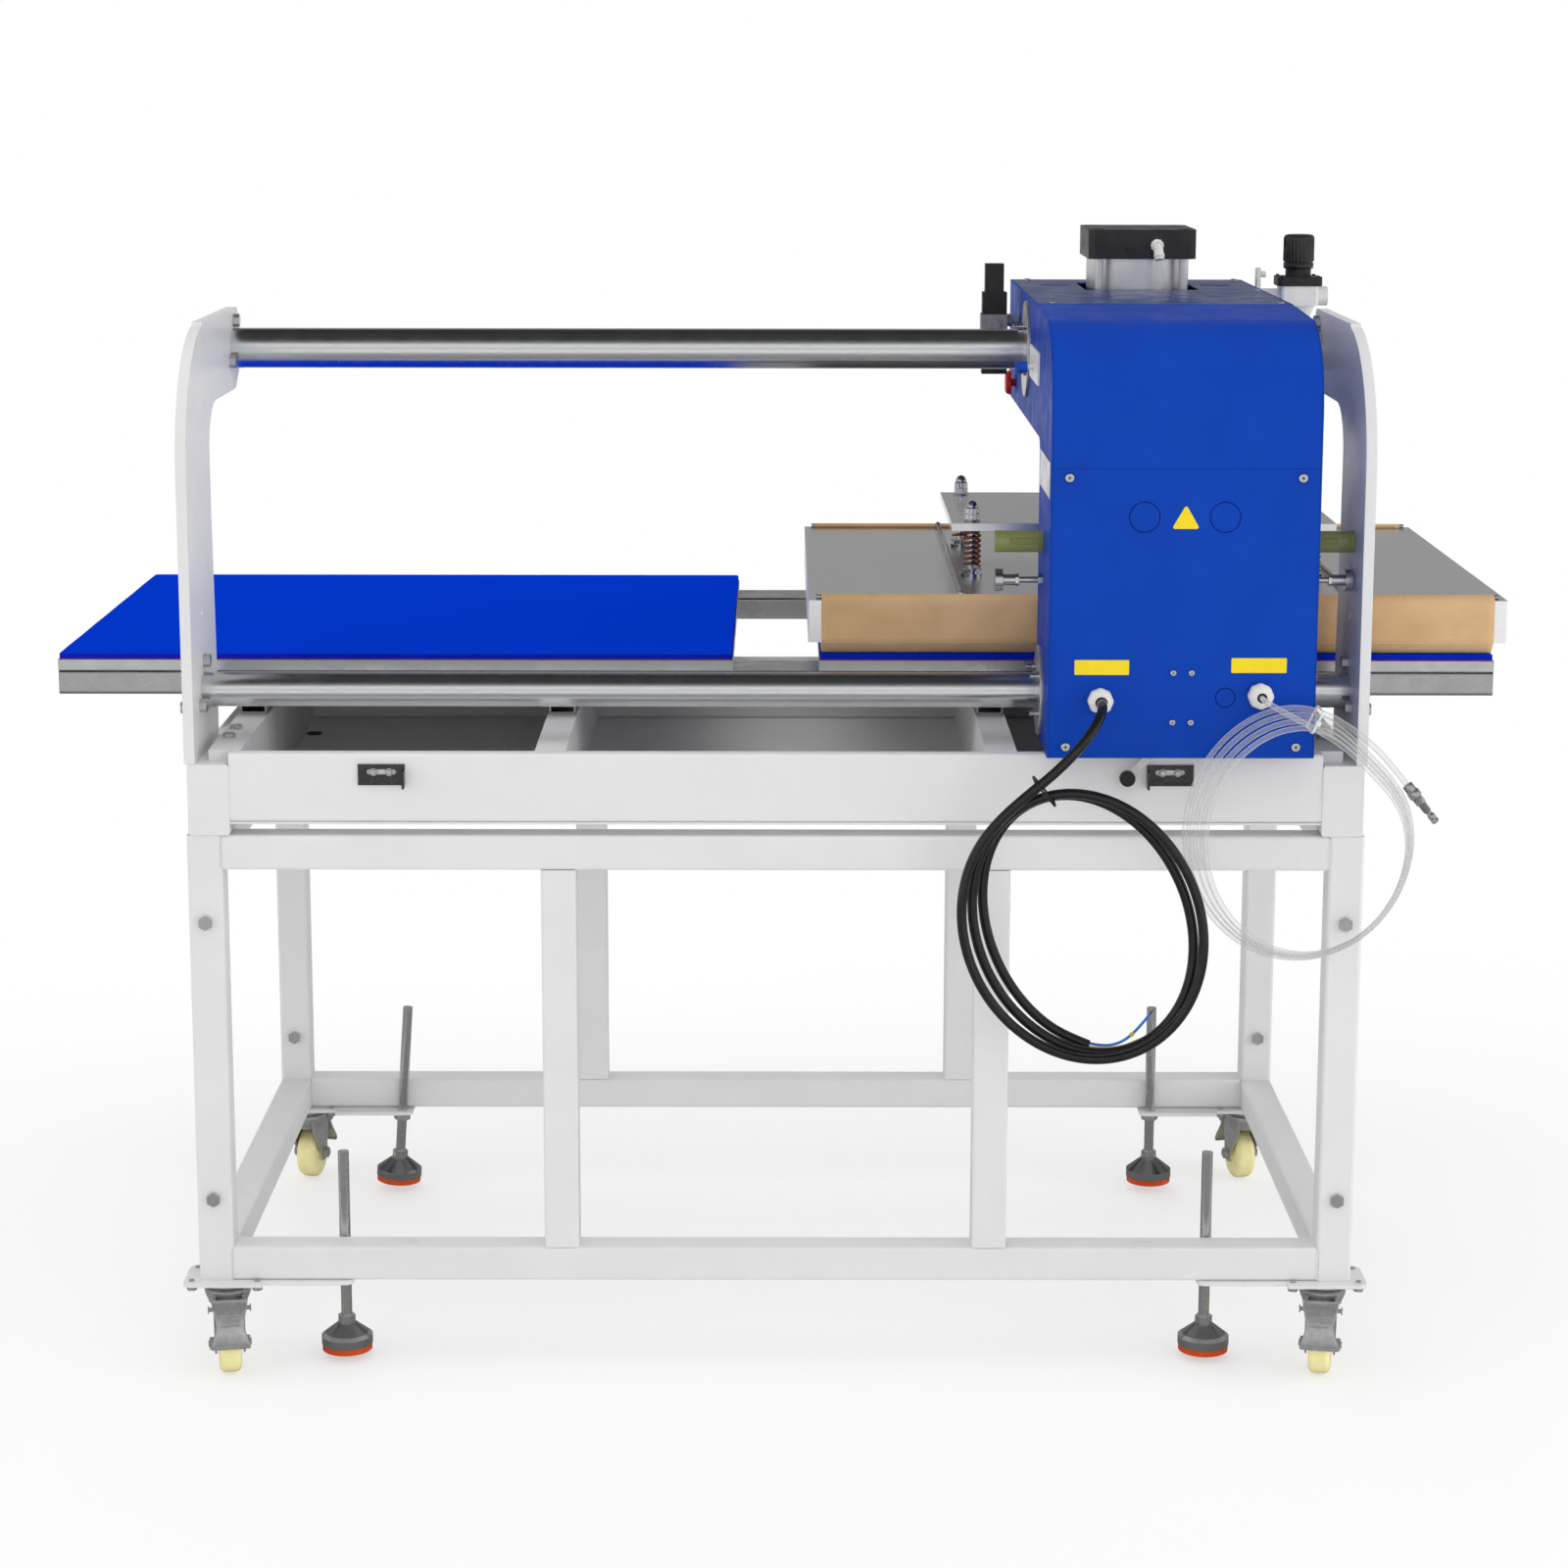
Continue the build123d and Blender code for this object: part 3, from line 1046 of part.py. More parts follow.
def biarc(p0, t0, p1, t1):
    """Two arcs that leave p0 along t0 and reach p1 along t1."""
    chord, both = p1 - p0, t0 + t1
    spread = 2 * (1 - t0.dot(t1))
    across = chord.dot(both)
    if spread < 1e-9:
        reach = chord.dot(chord) / (2 * across)
    else:
        reach = (-across + math.sqrt(across ** 2 + spread * chord.dot(chord))) / spread
    middle = (p0 + p1 + (t0 - t1) * reach) * 0.5
    first = TangentArc(p0, middle, tangent=t0)
    return [first, TangentArc(middle, p1, tangent=first % 1)]


def wound_tube(point, stations, diameter):
    """A tube along a formula's curve: biarcs between stations, with the exact tangents."""
    small = 1e-4

    def tangent(u):
        return (Vector(*point(u + small)) - Vector(*point(u - small))).normalized()

    arcs = []
    for a, b in zip(stations, stations[1:]):
        arcs += biarc(Vector(*point(a)), tangent(a), Vector(*point(b)), tangent(b))
    path = Wire([arc.edge() for arc in arcs])
    start = Plane(origin=Vector(*point(stations[0])), z_dir=tangent(stations[0]))
    return sweep(start * Circle(diameter / 2), path=path), path


def least_gap(point, stations, turns, diameter):
    """Least gap between one turn and the next, on points of the formula's curve."""
    steps = 48
    first, last = stations[0], stations[-1]
    per_turn = (last - first) / turns
    marks = [Vector(*point(first + per_turn * k / steps)) for k in range(int(steps * turns) + 1)]
    gaps = [(a - b).length for i, a in enumerate(marks) for b in marks[i + steps // 2:]]
    return min(gaps) - diameter


def spring_point(x, y):
    """A coil spring's wire: flat for a quarter turn at each end, then rising steadily."""
    radius = (SPRING_D - SPRING_WIRE) / 2
    low = CUP_TOP + SPRING_WIRE / 2 + EASE
    high = PRESS_BOTTOM - SPRING_WIRE / 2 - EASE

    def point(turn):
        angle = 2 * math.pi * turn
        return (x + radius * math.cos(angle), y + radius * math.sin(angle),
                low + (high - low) * turn / SPRING_TURNS)

    return point


def springs():
    pieces = []
    stations = [k / 4 for k in range(4 * SPRING_TURNS + 1)]
    for x, y in press_bolt_places():
        tube, path = wound_tube(spring_point(x, y), stations, SPRING_WIRE)
        pieces.append(tube)
    gap = least_gap(spring_point(0, 0), stations, SPRING_TURNS, SPRING_WIRE)
    print(f"spring: least gap {gap:.2f} mm, volume over section times length "
          f"{pieces[0].volume / (math.pi * SPRING_WIRE ** 2 / 4 * path.length):.4f}")
    return pieces


def platen_cover():
    """Folded casing over the heat plate, open below, with two bars and two PTFE rods on top."""
    half = PLATEN_WIDTH / 2
    outer = block(HEAD_X - half, HEAD_X + half, PLATEN_REAR, PLATEN_FRONT, PLATEN_BOTTOM, PLATEN_TOP)
    outer = fillet(outer.edges().filter_by(Axis.Z), 3.0)
    w = PLATEN_WALL
    cover = outer - block(HEAD_X - half + w, HEAD_X + half - w, PLATEN_REAR + w, PLATEN_FRONT - w,
                          PLATEN_BOTTOM + 6, PLATEN_TOP - w)
    cover -= block(HEAD_X - half + 12, HEAD_X + half - 12, PLATEN_REAR + 12, PLATEN_FRONT - 12,
                   PLATEN_BOTTOM - 1, PLATEN_BOTTOM + 7)
    bars = [block(HEAD_X + s * TOP_BAR_X - TOP_BAR_W / 2, HEAD_X + s * TOP_BAR_X + TOP_BAR_W / 2,
                  PLATEN_REAR + TOP_BAR_END, PLATEN_FRONT - TOP_BAR_END - 60,
                  PLATEN_TOP, PLATEN_TOP + TOP_BAR_H)
            for s in SIDES]
    rods = [rod((HEAD_X - PTFE_WIDTH / 2 - 8, y, PLATEN_TOP + PTFE_ROD_D / 2), EAST,
                PTFE_WIDTH + 16, PTFE_ROD_D)
            for y in (PLATEN_REAR + PTFE_ROD_IN, PLATEN_FRONT - PTFE_ROD_IN)]
    return [cover, *bars, *rods]


def heater():
    """Heated plate in the casing's mouth, and the insulation that fills the casing above it."""
    half_w, half_d = HEAT_PLATE_W / 2, HEAT_PLATE_D / 2
    outline = (HEAD_X - half_w, HEAD_X + half_w, PRESS_Y - half_d, PRESS_Y + half_d)
    plate_top = PLATEN_BOTTOM + HEAT_PLATE_NECK
    return block(*outline, HEAT_BOTTOM, plate_top), block(*outline, plate_top, PLATEN_TOP - PLATEN_WALL)


def ptfe_sheet():
    """One sheet from the rear rod down the casing, under the heat plate and up to the front rod."""
    g, t = EASE, PTFE_T
    half_d = HEAT_PLATE_D / 2
    y0, y1 = PLATEN_REAR - g, PLATEN_FRONT + g
    h0, h1 = PRESS_Y - half_d, PRESS_Y + half_d
    low = HEAT_BOTTOM - 0.2
    top = PLATEN_TOP + 2.0
    inner = [(y0, top), (y0, PLATEN_BOTTOM - g), (h0 - g, low), (h1 + g, low),
             (y1, PLATEN_BOTTOM - g), (y1, top)]
    outer = [(y1 + t, top), (y1 + t, PLATEN_BOTTOM - g - t), (h1 + g + t / 2, low - t),
             (h0 - g - t / 2, low - t), (y0 - t, PLATEN_BOTTOM - g - t), (y0 - t, top)]
    half = PTFE_WIDTH / 2
    return side_profile(HEAD_X - half, HEAD_X + half, Polyline(inner + outer, close=True))


# Air fittings on the head

def solenoid_valve():
    """End block, ported body, coil and plug of the valve, with its nipple to the head."""
    x0, x1 = HEAD_LEFT - VALVE_OUT - VALVE_W, HEAD_LEFT - VALVE_OUT
    y0, y1 = VALVE_Y - VALVE_D / 2, VALVE_Y + VALVE_D / 2
    z = ARM_BOTTOM
    end = block(x0, x1, y0, y1, z + 51, z + 94)
    body = block(x0 - 2, x1, y0 - 2, y1 + 2, z + 94, z + 144)
    coil = block(x0, x1 - 1, y0, y1, z + 144, z + 178)
    plug = block(x0 + 4, x1 - 6, y0 + 3, y1 - 3, z + 178, z + 222)
    port = hex_bar((x0 + 21, y0 - 2, z + 127), REAR, 5.0, 14.0)
    nipple = rod((x1, VALVE_Y, z + 134), EAST, HEAD_LEFT - x1, 12.0)
    nipple += hex_bar((x1, VALVE_Y, z + 134), EAST, 8.0, 17.0)
    return [end, body, coil, plug, port, nipple]


def regulator_body():
    """Body with its bowl, bonnet flange, neck, port, and the arm and post that hold it."""
    x, y, half = HEAD_RIGHT + REGULATOR_OUT, REGULATOR_Y, REGULATOR_W / 2
    top = HEAD_TOP + REGULATOR_RISE
    body_h, bowl_h, port_l, port_d = 31.0, 20.0, 17.0, 30.0
    body = block(x - half, x + half, y - half, y + half, top - body_h, top)
    body = fillet(body.edges().filter_by(Axis.Z), 5.0)
    bowl = Pos(x, y, top - body_h) * Cone(half - 10, half - 1, bowl_h,
                                          align=(Align.CENTER, Align.CENTER, Align.MAX))
    bonnet = top + REGULATOR_FLANGE_T
    flange = block(x - half - 6, x + half + 6, y - half - 2, y + half + 2, top, bonnet)
    flange = fillet(flange.edges().filter_by(Axis.Z), 9.0)
    neck = rod((x, y, bonnet), UP, REGULATOR_NECK_H, 40.0)
    neck += rod((x, y, bonnet), UP, REGULATOR_NECK_H + 22.0, REGULATOR_SHAFT_D)
    port = rod((x + half, y, top - port_l), EAST, port_l, port_d)
    arm = block(HEAD_RIGHT, x - half, y - 12, y + 12, top - 24, top - 6)
    post = block(HEAD_RIGHT + 4, HEAD_RIGHT + 10, y - 10, y + 12, top - 6, top + 27)
    post += rod((HEAD_RIGHT + 10, y + 2, top + 17), EAST, 9.0, 10.0)
    return [body + bowl, flange, neck, port, arm, post]


def regulator_knob():
    """Knob that turns on the neck's shaft."""
    start = (HEAD_RIGHT + REGULATOR_OUT, REGULATOR_Y, KNOB_LOW)
    socket = 24.0
    knob = rod(start, UP, REGULATOR_KNOB_H, REGULATOR_KNOB_D)
    knob = fillet(knob.faces().sort_by(Axis.Z)[-1].edges(), 4.0)
    return knob - rod(start, UP, socket, REGULATOR_SHAFT_D + 2 * RUNNING)


# Cords. Routes are hand-chosen points. A coil's turns come from a formula.

def mains_coil_point(u):
    """Mains cable's coil, by turns: a leaning oval that narrows and drifts towards the frame."""
    lean = math.radians(22)
    angle = math.radians(130) + 2 * math.pi * u - lean
    short = (170.4 - 16.0 * u) * math.cos(angle)
    long = (196.6 - 4.0 * u) * math.sin(angle)
    return (427.4 + 1.5 * u + short * math.cos(lean) - long * math.sin(lean),
            -150.0 + 15.0 * u,
            702.0 + short * math.sin(lean) + long * math.cos(lean))


def hose_coil_point(u):
    """Air hose's coil, clockwise, growing outwards and towards the head, flatter at its upper right."""
    angle = math.radians(75) - 2 * math.pi * u
    flat = 1 - 0.13 * max(0.0, math.cos(angle - math.radians(48))) ** 8
    return (740.0 - 2.5 * u + flat * (138.6 + 5.9 * u) * math.cos(angle),
            -106.0 + 9.5 * u,
            811.0 + 1.8 * u + flat * (158.0 + 6.1 * u) * math.sin(angle))


MAINS_ROUTE = [(451.0, -76.0, 1004.0), (451.0, -100.0, 1004.0), (446.0, -123.6, 994.0),
               (434.0, -141.0, 977.0), (414.0, -150.0, 953.0), (382.0, -152.0, 920.0),
               (341.5, -150.6, 886.2)]
HOSE_ROUTE = [(673.5, -76.0, 1011.0), (673.5, -92.0, 1011.0), (680.0, -105.5, 1008.0),
              (692.0, -114.5, 1002.0), (709.0, -116.5, 993.0), (730.0, -111.0, 981.5),
              (755.0, -106.2, 966.8)]
HOSE_TAIL = [(788.9, -67.8, 974.3), (811.0, -68.5, 959.0), (836.0, -70.5, 938.0),
             (858.0, -73.0, 914.0)]
PLUG_START = (878.0, -75.5, 889.0)
BLUE_CORE = [(438.3, -114.4, 527.3), (459.7, -114.0, 522.3), (485.0, -112.0, 527.5),
             (507.0, -110.0, 546.0), (523.5, -108.5, 567.5)]
YELLOW_CORE = [(437.2, -114.4, 522.5), (458.5, -114.0, 517.4), (484.0, -113.0, 519.5),
               (507.0, -111.0, 530.0), (520.0, -110.0, 539.5)]


def cord_tube(route, diameter, name):
    """A tube of straight runs joined by arcs as large as the runs allow."""
    points = [Vector(*p) for p in route]
    radii = []
    for before, corner, after in zip(points, points[1:], points[2:]):
        turn = (corner - before).get_angle(after - corner)
        shorter = min((corner - before).length, (after - corner).length)
        radii.append(0.45 * shorter / math.tan(math.radians(turn / 2)))
    path = FilletPolyline(points, radius=radii)
    start = Plane(origin=points[0], z_dir=points[1] - points[0])
    tube = sweep(start * Circle(diameter / 2), path=path)
    ratio = tube.volume / (math.pi * diameter ** 2 / 4 * path.length)
    print(f"{name}: length {path.length:.0f} mm, radii {[round(r) for r in radii]}, "
          f"volume ratio {ratio:.4f}")
    return tube


def off_end(point, turn, way):
    """A place a hair off a coil's end, in the direction that its tube has there."""
    small = 1e-4
    ahead = (Vector(*point(turn + small)) - Vector(*point(turn - small))).normalized()
    return tuple(Vector(*point(turn)) + ahead * way * CORD_GAP)


def coil(point, turns, diameter, name):
    stations = [k / 4 for k in range(int(4 * turns) + 1)]
    if turns > stations[-1]:
        stations.append(turns)
    tube, path = wound_tube(point, stations, diameter)
    ratio = tube.volume / (math.pi * diameter ** 2 / 4 * path.length)
    print(f"{name}: length {path.length:.0f} mm, least gap to itself "
          f"{least_gap(point, stations, turns, diameter):.2f} mm, volume ratio {ratio:.4f}")
    return tube


def beyond(route, length, diameter):
    """A round piece that carries on from a route's end."""
    end = Vector(*route[-1])
    return Plane(origin=end, z_dir=end - Vector(*route[-2])) * rod((0, 0, 0), UP, length, diameter)


def mains_cores():
    """Two cores out of the jacket's end: a bared tip on one, a lug on the other."""
    return [cord_tube(BLUE_CORE, CORE_D, "blue core"), cord_tube(YELLOW_CORE, CORE_D, "yellow core"),
            beyond(BLUE_CORE, 9.0, 2.4), beyond(YELLOW_CORE, 12.0, 4.6)]


def hose_plug():
    """Quick plug: barb nut, body and stepped nose, along the hose's end."""
    start = Vector(*PLUG_START)
    place = Plane(origin=start, z_dir=start - Vector(*HOSE_TAIL[-1]))
    steps = [(0, 12, 15.0), (12, 10, 18.0), (22, 12, 15.0), (34, 14, 11.5), (48, 5, 8.0), (53, 14, 11.0)]
    plug = rod((0, 0, 0), UP, 1, 10.0)
    for z, length, diameter in steps:
        plug += rod((0, 0, z), UP, length, diameter)
    return place * plug


def tie(centre, axis, width, height, corner):
    """A cable tie: an oval band round the bundle with its lock."""
    strap, band_w, lock = 1.5, 3.0, 6.5
    place = Plane(origin=centre, x_dir=(0, 1, 0), z_dir=axis)
    outer = RectangleRounded(width + 2 * strap, height + 2 * strap, corner + strap)
    band = extrude(outer - RectangleRounded(width, height, corner), band_w)
    clasp = Pos(-width / 2 - strap - lock / 2, 0, band_w / 2) * Box(lock, lock, lock)
    return place * (band + clasp)


def cable_ties():
    """The mains lead is tied to its coil, and the hose's lead to all its turns."""
    return [tie((370.0, -136.2, 892.8), (-0.77, 0, -0.64), 47.0, 43.0, 7.2),
            tie((744.1, -88.7, 984.3), (0.9, 0, -0.43), 50.5, 32.0, 4.3)]


def write_cart():
    save("cart_legs", *cart_legs())
    save("cart_beams", *cart_beams())
    save("caster_plates", *[caster_plate(name) for name in CORNERS])
    # The fixed halves of the casters share the bolts' file, which keeps the files at 60
    mounts = [piece for name in CORNERS for piece in caster_mount(name)]
    save("frame_bolts", *frame_bolts(), *mounts)
    save("tray_frame", *tray_frame())
    save("uprights", *uprights())
    save("guide_rails", *guide_rails())
    save("beds", *beds())
    save("silicone_pads", *silicone_pads())
    save("striker_brackets", striker(-1), striker(1))
    fork, wheel, pedal = caster_fork(), caster_wheel(), caster_pedal()
    for name in CORNERS:
        place = caster_place(name)
        save(f"caster_{name}_fork", place * fork)
        save(f"caster_{name}_wheel", place * wheel)
        save(f"caster_{name}_pedal", place * pedal)
        save(f"foot_{name}", *foot(name))


def write_head():
    shell = head_shell()
    save("head_sides", *head_sides())
    save("head_cover", *head_cover(shell))
    save("head_panels", *head_panels(shell))
    save("bearing_caps", *bearing_caps())
    save("head_screws", *head_screws())
    save("cylinder_barrel", *cylinder_barrel())
    save("cylinder_cap", cylinder_cap())
    save("fittings", *fittings())
    save("regulator_body", *regulator_body())
    save("solenoid_valve", *solenoid_valve())
    save("limit_switch", limit_switch())
    save("control_panel", *control_panel())
    save("buffers", *buffers())
    save("travel_stops", *travel_stops())
    save("switch_lever", switch_lever())
    save("regulator_knob", regulator_knob())
    save("side_knob", side_knob())
    save("stop_button", stop_button())
    save("start_button", start_button())


def write_press():
    save("piston_rod", piston_rod())
    save("press_plate", press_plate())
    save("press_hardware", *press_hardware())
    save("springs", *springs())
    save("platen_cover", *platen_cover())
    plate, insulation = heater()
    save("heat_plate", plate)
    save("insulation", insulation)
    save("ptfe_sheet", ptfe_sheet())


def write_cords():
    mains_start = off_end(mains_coil_point, 0, -1)
    hose_start, hose_end = off_end(hose_coil_point, 0, -1), off_end(hose_coil_point, HOSE_TURNS, 1)
    save("mains_cable", cord_tube(MAINS_ROUTE + [mains_start], MAINS_D, "mains lead"))
    save("mains_coil", coil(mains_coil_point, MAINS_TURNS, MAINS_D, "mains coil"))
    save("mains_cores", *mains_cores())
    save("air_hose", cord_tube(HOSE_ROUTE + [hose_start], HOSE_D, "hose lead"),
         cord_tube([hose_end] + HOSE_TAIL + [PLUG_START], HOSE_D, "hose tail"))
    save("air_coil", coil(hose_coil_point, HOSE_TURNS, HOSE_D, "hose coil"))
    save("hose_plug", hose_plug())
    save("cable_ties", *cable_ties())


write_cart()
write_head()
write_press()
write_cords()
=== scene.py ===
"""Pneumatic dual heat press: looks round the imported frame.

Places are given in the cart's own frame, in millimetres: X from the cart's middle, Y from the
rear faces of its legs towards the operator, Z from the floor. place() turns them into the row's.
"""
import math

import bmesh
import bpy
from mathutils import Matrix, Vector


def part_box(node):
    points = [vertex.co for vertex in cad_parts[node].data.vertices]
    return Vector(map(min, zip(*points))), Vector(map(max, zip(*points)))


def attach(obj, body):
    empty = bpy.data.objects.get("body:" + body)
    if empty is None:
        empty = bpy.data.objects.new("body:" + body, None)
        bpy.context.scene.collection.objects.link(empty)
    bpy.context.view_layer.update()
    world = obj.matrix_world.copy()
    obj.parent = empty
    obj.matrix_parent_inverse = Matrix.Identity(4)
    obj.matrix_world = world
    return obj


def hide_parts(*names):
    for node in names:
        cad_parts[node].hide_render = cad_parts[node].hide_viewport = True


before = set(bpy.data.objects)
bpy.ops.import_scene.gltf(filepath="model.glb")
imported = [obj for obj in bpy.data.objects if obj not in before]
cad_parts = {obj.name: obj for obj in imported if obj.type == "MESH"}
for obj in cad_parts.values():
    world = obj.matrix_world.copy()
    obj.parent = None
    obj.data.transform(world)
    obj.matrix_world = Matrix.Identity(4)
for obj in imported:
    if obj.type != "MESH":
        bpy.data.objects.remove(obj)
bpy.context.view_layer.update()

# The cart's frame
CART_HALF = 835.5
CART_BOTTOM = 136.0
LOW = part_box("cart_legs")[0]
SHIFT = Vector((LOW.x * 1000 + CART_HALF, LOW.y * 1000, 0.0))


def place(x, y, z):
    return (Vector((x, y, z)) + SHIFT) / 1000


# Levels and places that the CAD source works out
CART_DEPTH = 887.0
CORNERS = ("rear_left", "rear_right", "front_left", "front_right")
CASTER_X, CASTER_Y, CASTER_HEIGHT, CASTER_TURN = 799.0, 25.0, 130.0, 11.0
CASTER_MOUNT_TOP = 145.0
FOOT_PAD_TOP, FOOT_RIM_TOP, FOOT_CONE_TOP = 22.2, 34.5, 52.5
TUBE = 50.0
UPPER_BEAM_Z = 747.0
TRAY_FLOOR, TRAY_TOP = 817.0, 914.0
SIDE_TUBE_W, SIDE_TUBE_H, SIDE_TUBE_SET_IN, SIDE_TUBE_Z = 59.0, 103.0, 3.5, 848.5
UPRIGHT_INNER = 820.5
BED_BAR_TOP, BED_TOP = 987.0, 1003.0
STATION_X = 565.0
PAD_W, PAD_REAR, PAD_FRONT, PAD_CORNER = 1000.0, 271.0, 1071.0, 5.0
HEAD_X, HEAD_REAR, HEAD_TOP = 565.0, -50.0, 1531.0
HEAD_SLOPE_END = 271.0
ARM_BOTTOM = 1346.0
MAINS_GLAND, HOSE_GLAND = (451.0, HEAD_REAR, 1004.0), (673.5, HEAD_REAR, 1011.0)
SWITCH_ROLLER = (494.0, 887.0, 11.2)
ELBOW_X, ELBOW_Y, ELBOW_Z = 587.0, 587.5, 1599.0
ELBOW_TUBE = (589.2, 565.5, 3.7)
CAP_TOP = 1615.0
KNOB_X, KNOB_Y, KNOB_Z = 821.5, 690.0, 1558.3
KNOB_FLANGE_TOP = 1546.0
PRESS_Y = 677.0
PRESS_BOLTS_X, PRESS_BOLTS_Y, PRESS_TOP = (302.0, 828.0), (512.0, 842.0), 1180.1
HEAT_BOTTOM, HEAT_HALF = 1014.6, 395.0
PLATEN_REAR, PLATEN_FRONT = 267.0, 1087.0
PLATEN_BOTTOM, PLATEN_TOP = 1031.1, 1094.1
TOP_BAR_X = 290.0


# Camera: place, turn and focal length, found from the object's own edges in the photograph

CAMERA_SPOT = (5.838, -4739.977, 1875.366)
CAMERA_PITCH, CAMERA_YAW, CAMERA_ROLL = 10.37, 0.067, -0.088
PHOTO_PX = 1600
FOCAL_PX = 3496.387
MIDDLE_ROW_PX = 704.083


def aim_camera():
    """The photograph's camera, shifted because the photograph is cropped off its middle row."""
    pitch, yaw, roll = math.radians(CAMERA_PITCH), math.radians(CAMERA_YAW), math.radians(CAMERA_ROLL)
    forward = Vector((math.sin(yaw) * math.cos(pitch), math.cos(yaw) * math.cos(pitch), -math.sin(pitch)))
    level = Vector((math.cos(yaw), -math.sin(yaw), 0.0))
    down = forward.cross(level)
    right = level * math.cos(roll) + down * math.sin(roll)
    down = down * math.cos(roll) - level * math.sin(roll)
    data = bpy.data.cameras.new("photo_camera")
    data.sensor_width = 36.0
    data.lens = data.sensor_width * FOCAL_PX / PHOTO_PX
    data.shift_y = (MIDDLE_ROW_PX - PHOTO_PX / 2) / PHOTO_PX
    data.clip_end = 60
    camera = bpy.data.objects.new("photo_camera", data)
    turn = Matrix((right, -down, -forward)).transposed().to_4x4()
    camera.matrix_world = Matrix.Translation(place(*CAMERA_SPOT)) @ turn
    bpy.context.collection.objects.link(camera)
    bpy.context.scene.camera = camera


# Materials

class Finish:
    """A Principled material with object coordinates in metres, whose patterns are added one by one."""

    def __init__(self, name, colour, rough, metallic=0.0, specular=0.5, coat=0.0, coat_rough=0.1):
        self.material = bpy.data.materials.new(name)
        self.material.use_nodes = True
        self.nodes = self.material.node_tree.nodes
        self.links = self.material.node_tree.links
        self.shader = self.nodes["Principled BSDF"]
        self.set("Base Color", (*colour, 1))
        self.set("Roughness", rough)
        self.set("Metallic", metallic)
        self.set("Specular IOR Level", specular)
        self.set("Coat Weight", coat)
        self.set("Coat Roughness", coat_rough)
        self.colour = (*colour, 1)
        self.rough = rough
        self.paint = None
        self.normal = None
        self.coords = self.nodes.new("ShaderNodeTexCoord").outputs["Object"]

    def set(self, socket, value):
        self.shader.inputs[socket].default_value = value

    def node(self, kind, **values):
        made = self.nodes.new(kind)
        for key, value in values.items():
            setattr(made, key, value)
        return made

    def mapped(self, stretch):
        mapping = self.node("ShaderNodeMapping")
        mapping.inputs["Scale"].default_value = stretch
        self.links.new(self.coords, mapping.inputs["Vector"])
        return mapping.outputs["Vector"]

    def noise(self, scale, stretch=(1, 1, 1), detail=3.0, rough=0.55):
        made = self.node("ShaderNodeTexNoise")
        made.inputs["Scale"].default_value = scale
        made.inputs["Detail"].default_value = detail
        made.inputs["Roughness"].default_value = rough
        self.links.new(self.mapped(stretch), made.inputs["Vector"])
        return made.outputs["Fac"]

    def ranged(self, value, low, high, start=0.35, stop=0.65):
        made = self.node("ShaderNodeMapRange")
        for key, number in zip(("From Min", "From Max", "To Min", "To Max"), (start, stop, low, high)):
            made.inputs[key].default_value = number
        self.links.new(value, made.inputs["Value"])
        return made.outputs["Result"]

    def mottled(self, value, other, start=0.3, stop=0.7):
        """Colour runs to another where a pattern is high."""
        mix = self.node("ShaderNodeMix", data_type="RGBA")
        colours = [s for s in mix.inputs if s.type == "RGBA"]
        self.links.new(self.ranged(value, 0.0, 1.0, start, stop), mix.inputs["Factor"])
        if self.paint is None:
            colours[0].default_value = self.colour
        else:
            self.links.new(self.paint, colours[0])
        colours[1].default_value = (*other, 1)
        self.paint = [s for s in mix.outputs if s.type == "RGBA"][0]
        self.links.new(self.paint, self.shader.inputs["Base Color"])
        return self

    def worn(self, value, spread):
        """Roughness wanders with a pattern."""
        level = self.ranged(value, self.rough - spread, self.rough + spread)
        self.links.new(level, self.shader.inputs["Roughness"])
        return self

    def bumped(self, value, strength, distance):
        made = self.node("ShaderNodeBump")
        made.inputs["Strength"].default_value = strength
        made.inputs["Distance"].default_value = distance
        self.links.new(value, made.inputs["Height"])
        if self.normal is not None:
            self.links.new(self.normal, made.inputs["Normal"])
        self.normal = made.outputs["Normal"]
        self.links.new(self.normal, self.shader.inputs["Normal"])
        return self

    def eased(self, radius):
        """Edges catch the light as a small rounding would."""
        made = self.node("ShaderNodeBevel", samples=4)
        made.inputs["Radius"].default_value = radius
        self.normal = made.outputs["Normal"]
        self.links.new(self.normal, self.shader.inputs["Normal"])
        return self


def powder_coat(name, colour, dust, rough=0.42, peel=0.22, specular=0.25):
    """Baked paint: orange peel, slight clouding and a faint duller dust."""
    made = Finish(name, colour, rough, specular=specular).eased(0.0012)
    made.mottled(made.noise(9, detail=5), dust)
    made.worn(made.noise(24), 0.07)
    made.bumped(made.noise(620, detail=2), peel, 0.0004)
    return made.bumped(made.noise(70, detail=2), 0.05, 0.0008)


def metal(name, colour, rough, shade, stretch=(1, 1, 1), grain=500, strength=0.12, spread=0.08, metallic=1.0):
    """Bare or plated metal with the grain of its making."""
    made = Finish(name, colour, rough, metallic=metallic).eased(0.0006)
    lines = made.noise(grain, stretch, detail=4)
    made.mottled(lines, shade)
    made.worn(made.noise(35, detail=4), spread)
    return made.bumped(lines, strength, 0.0003)


def plastic(name, colour, rough, shade, grain=900, strength=0.12, specular=0.3):
    """Moulded plastic or rubber with a fine grain and clouding."""
    made = Finish(name, colour, rough, specular=specular).eased(0.0005)
    made.mottled(made.noise(60, detail=4), shade)
    made.worn(made.noise(90), 0.06)
    return made.bumped(made.noise(grain), strength, 0.0003)


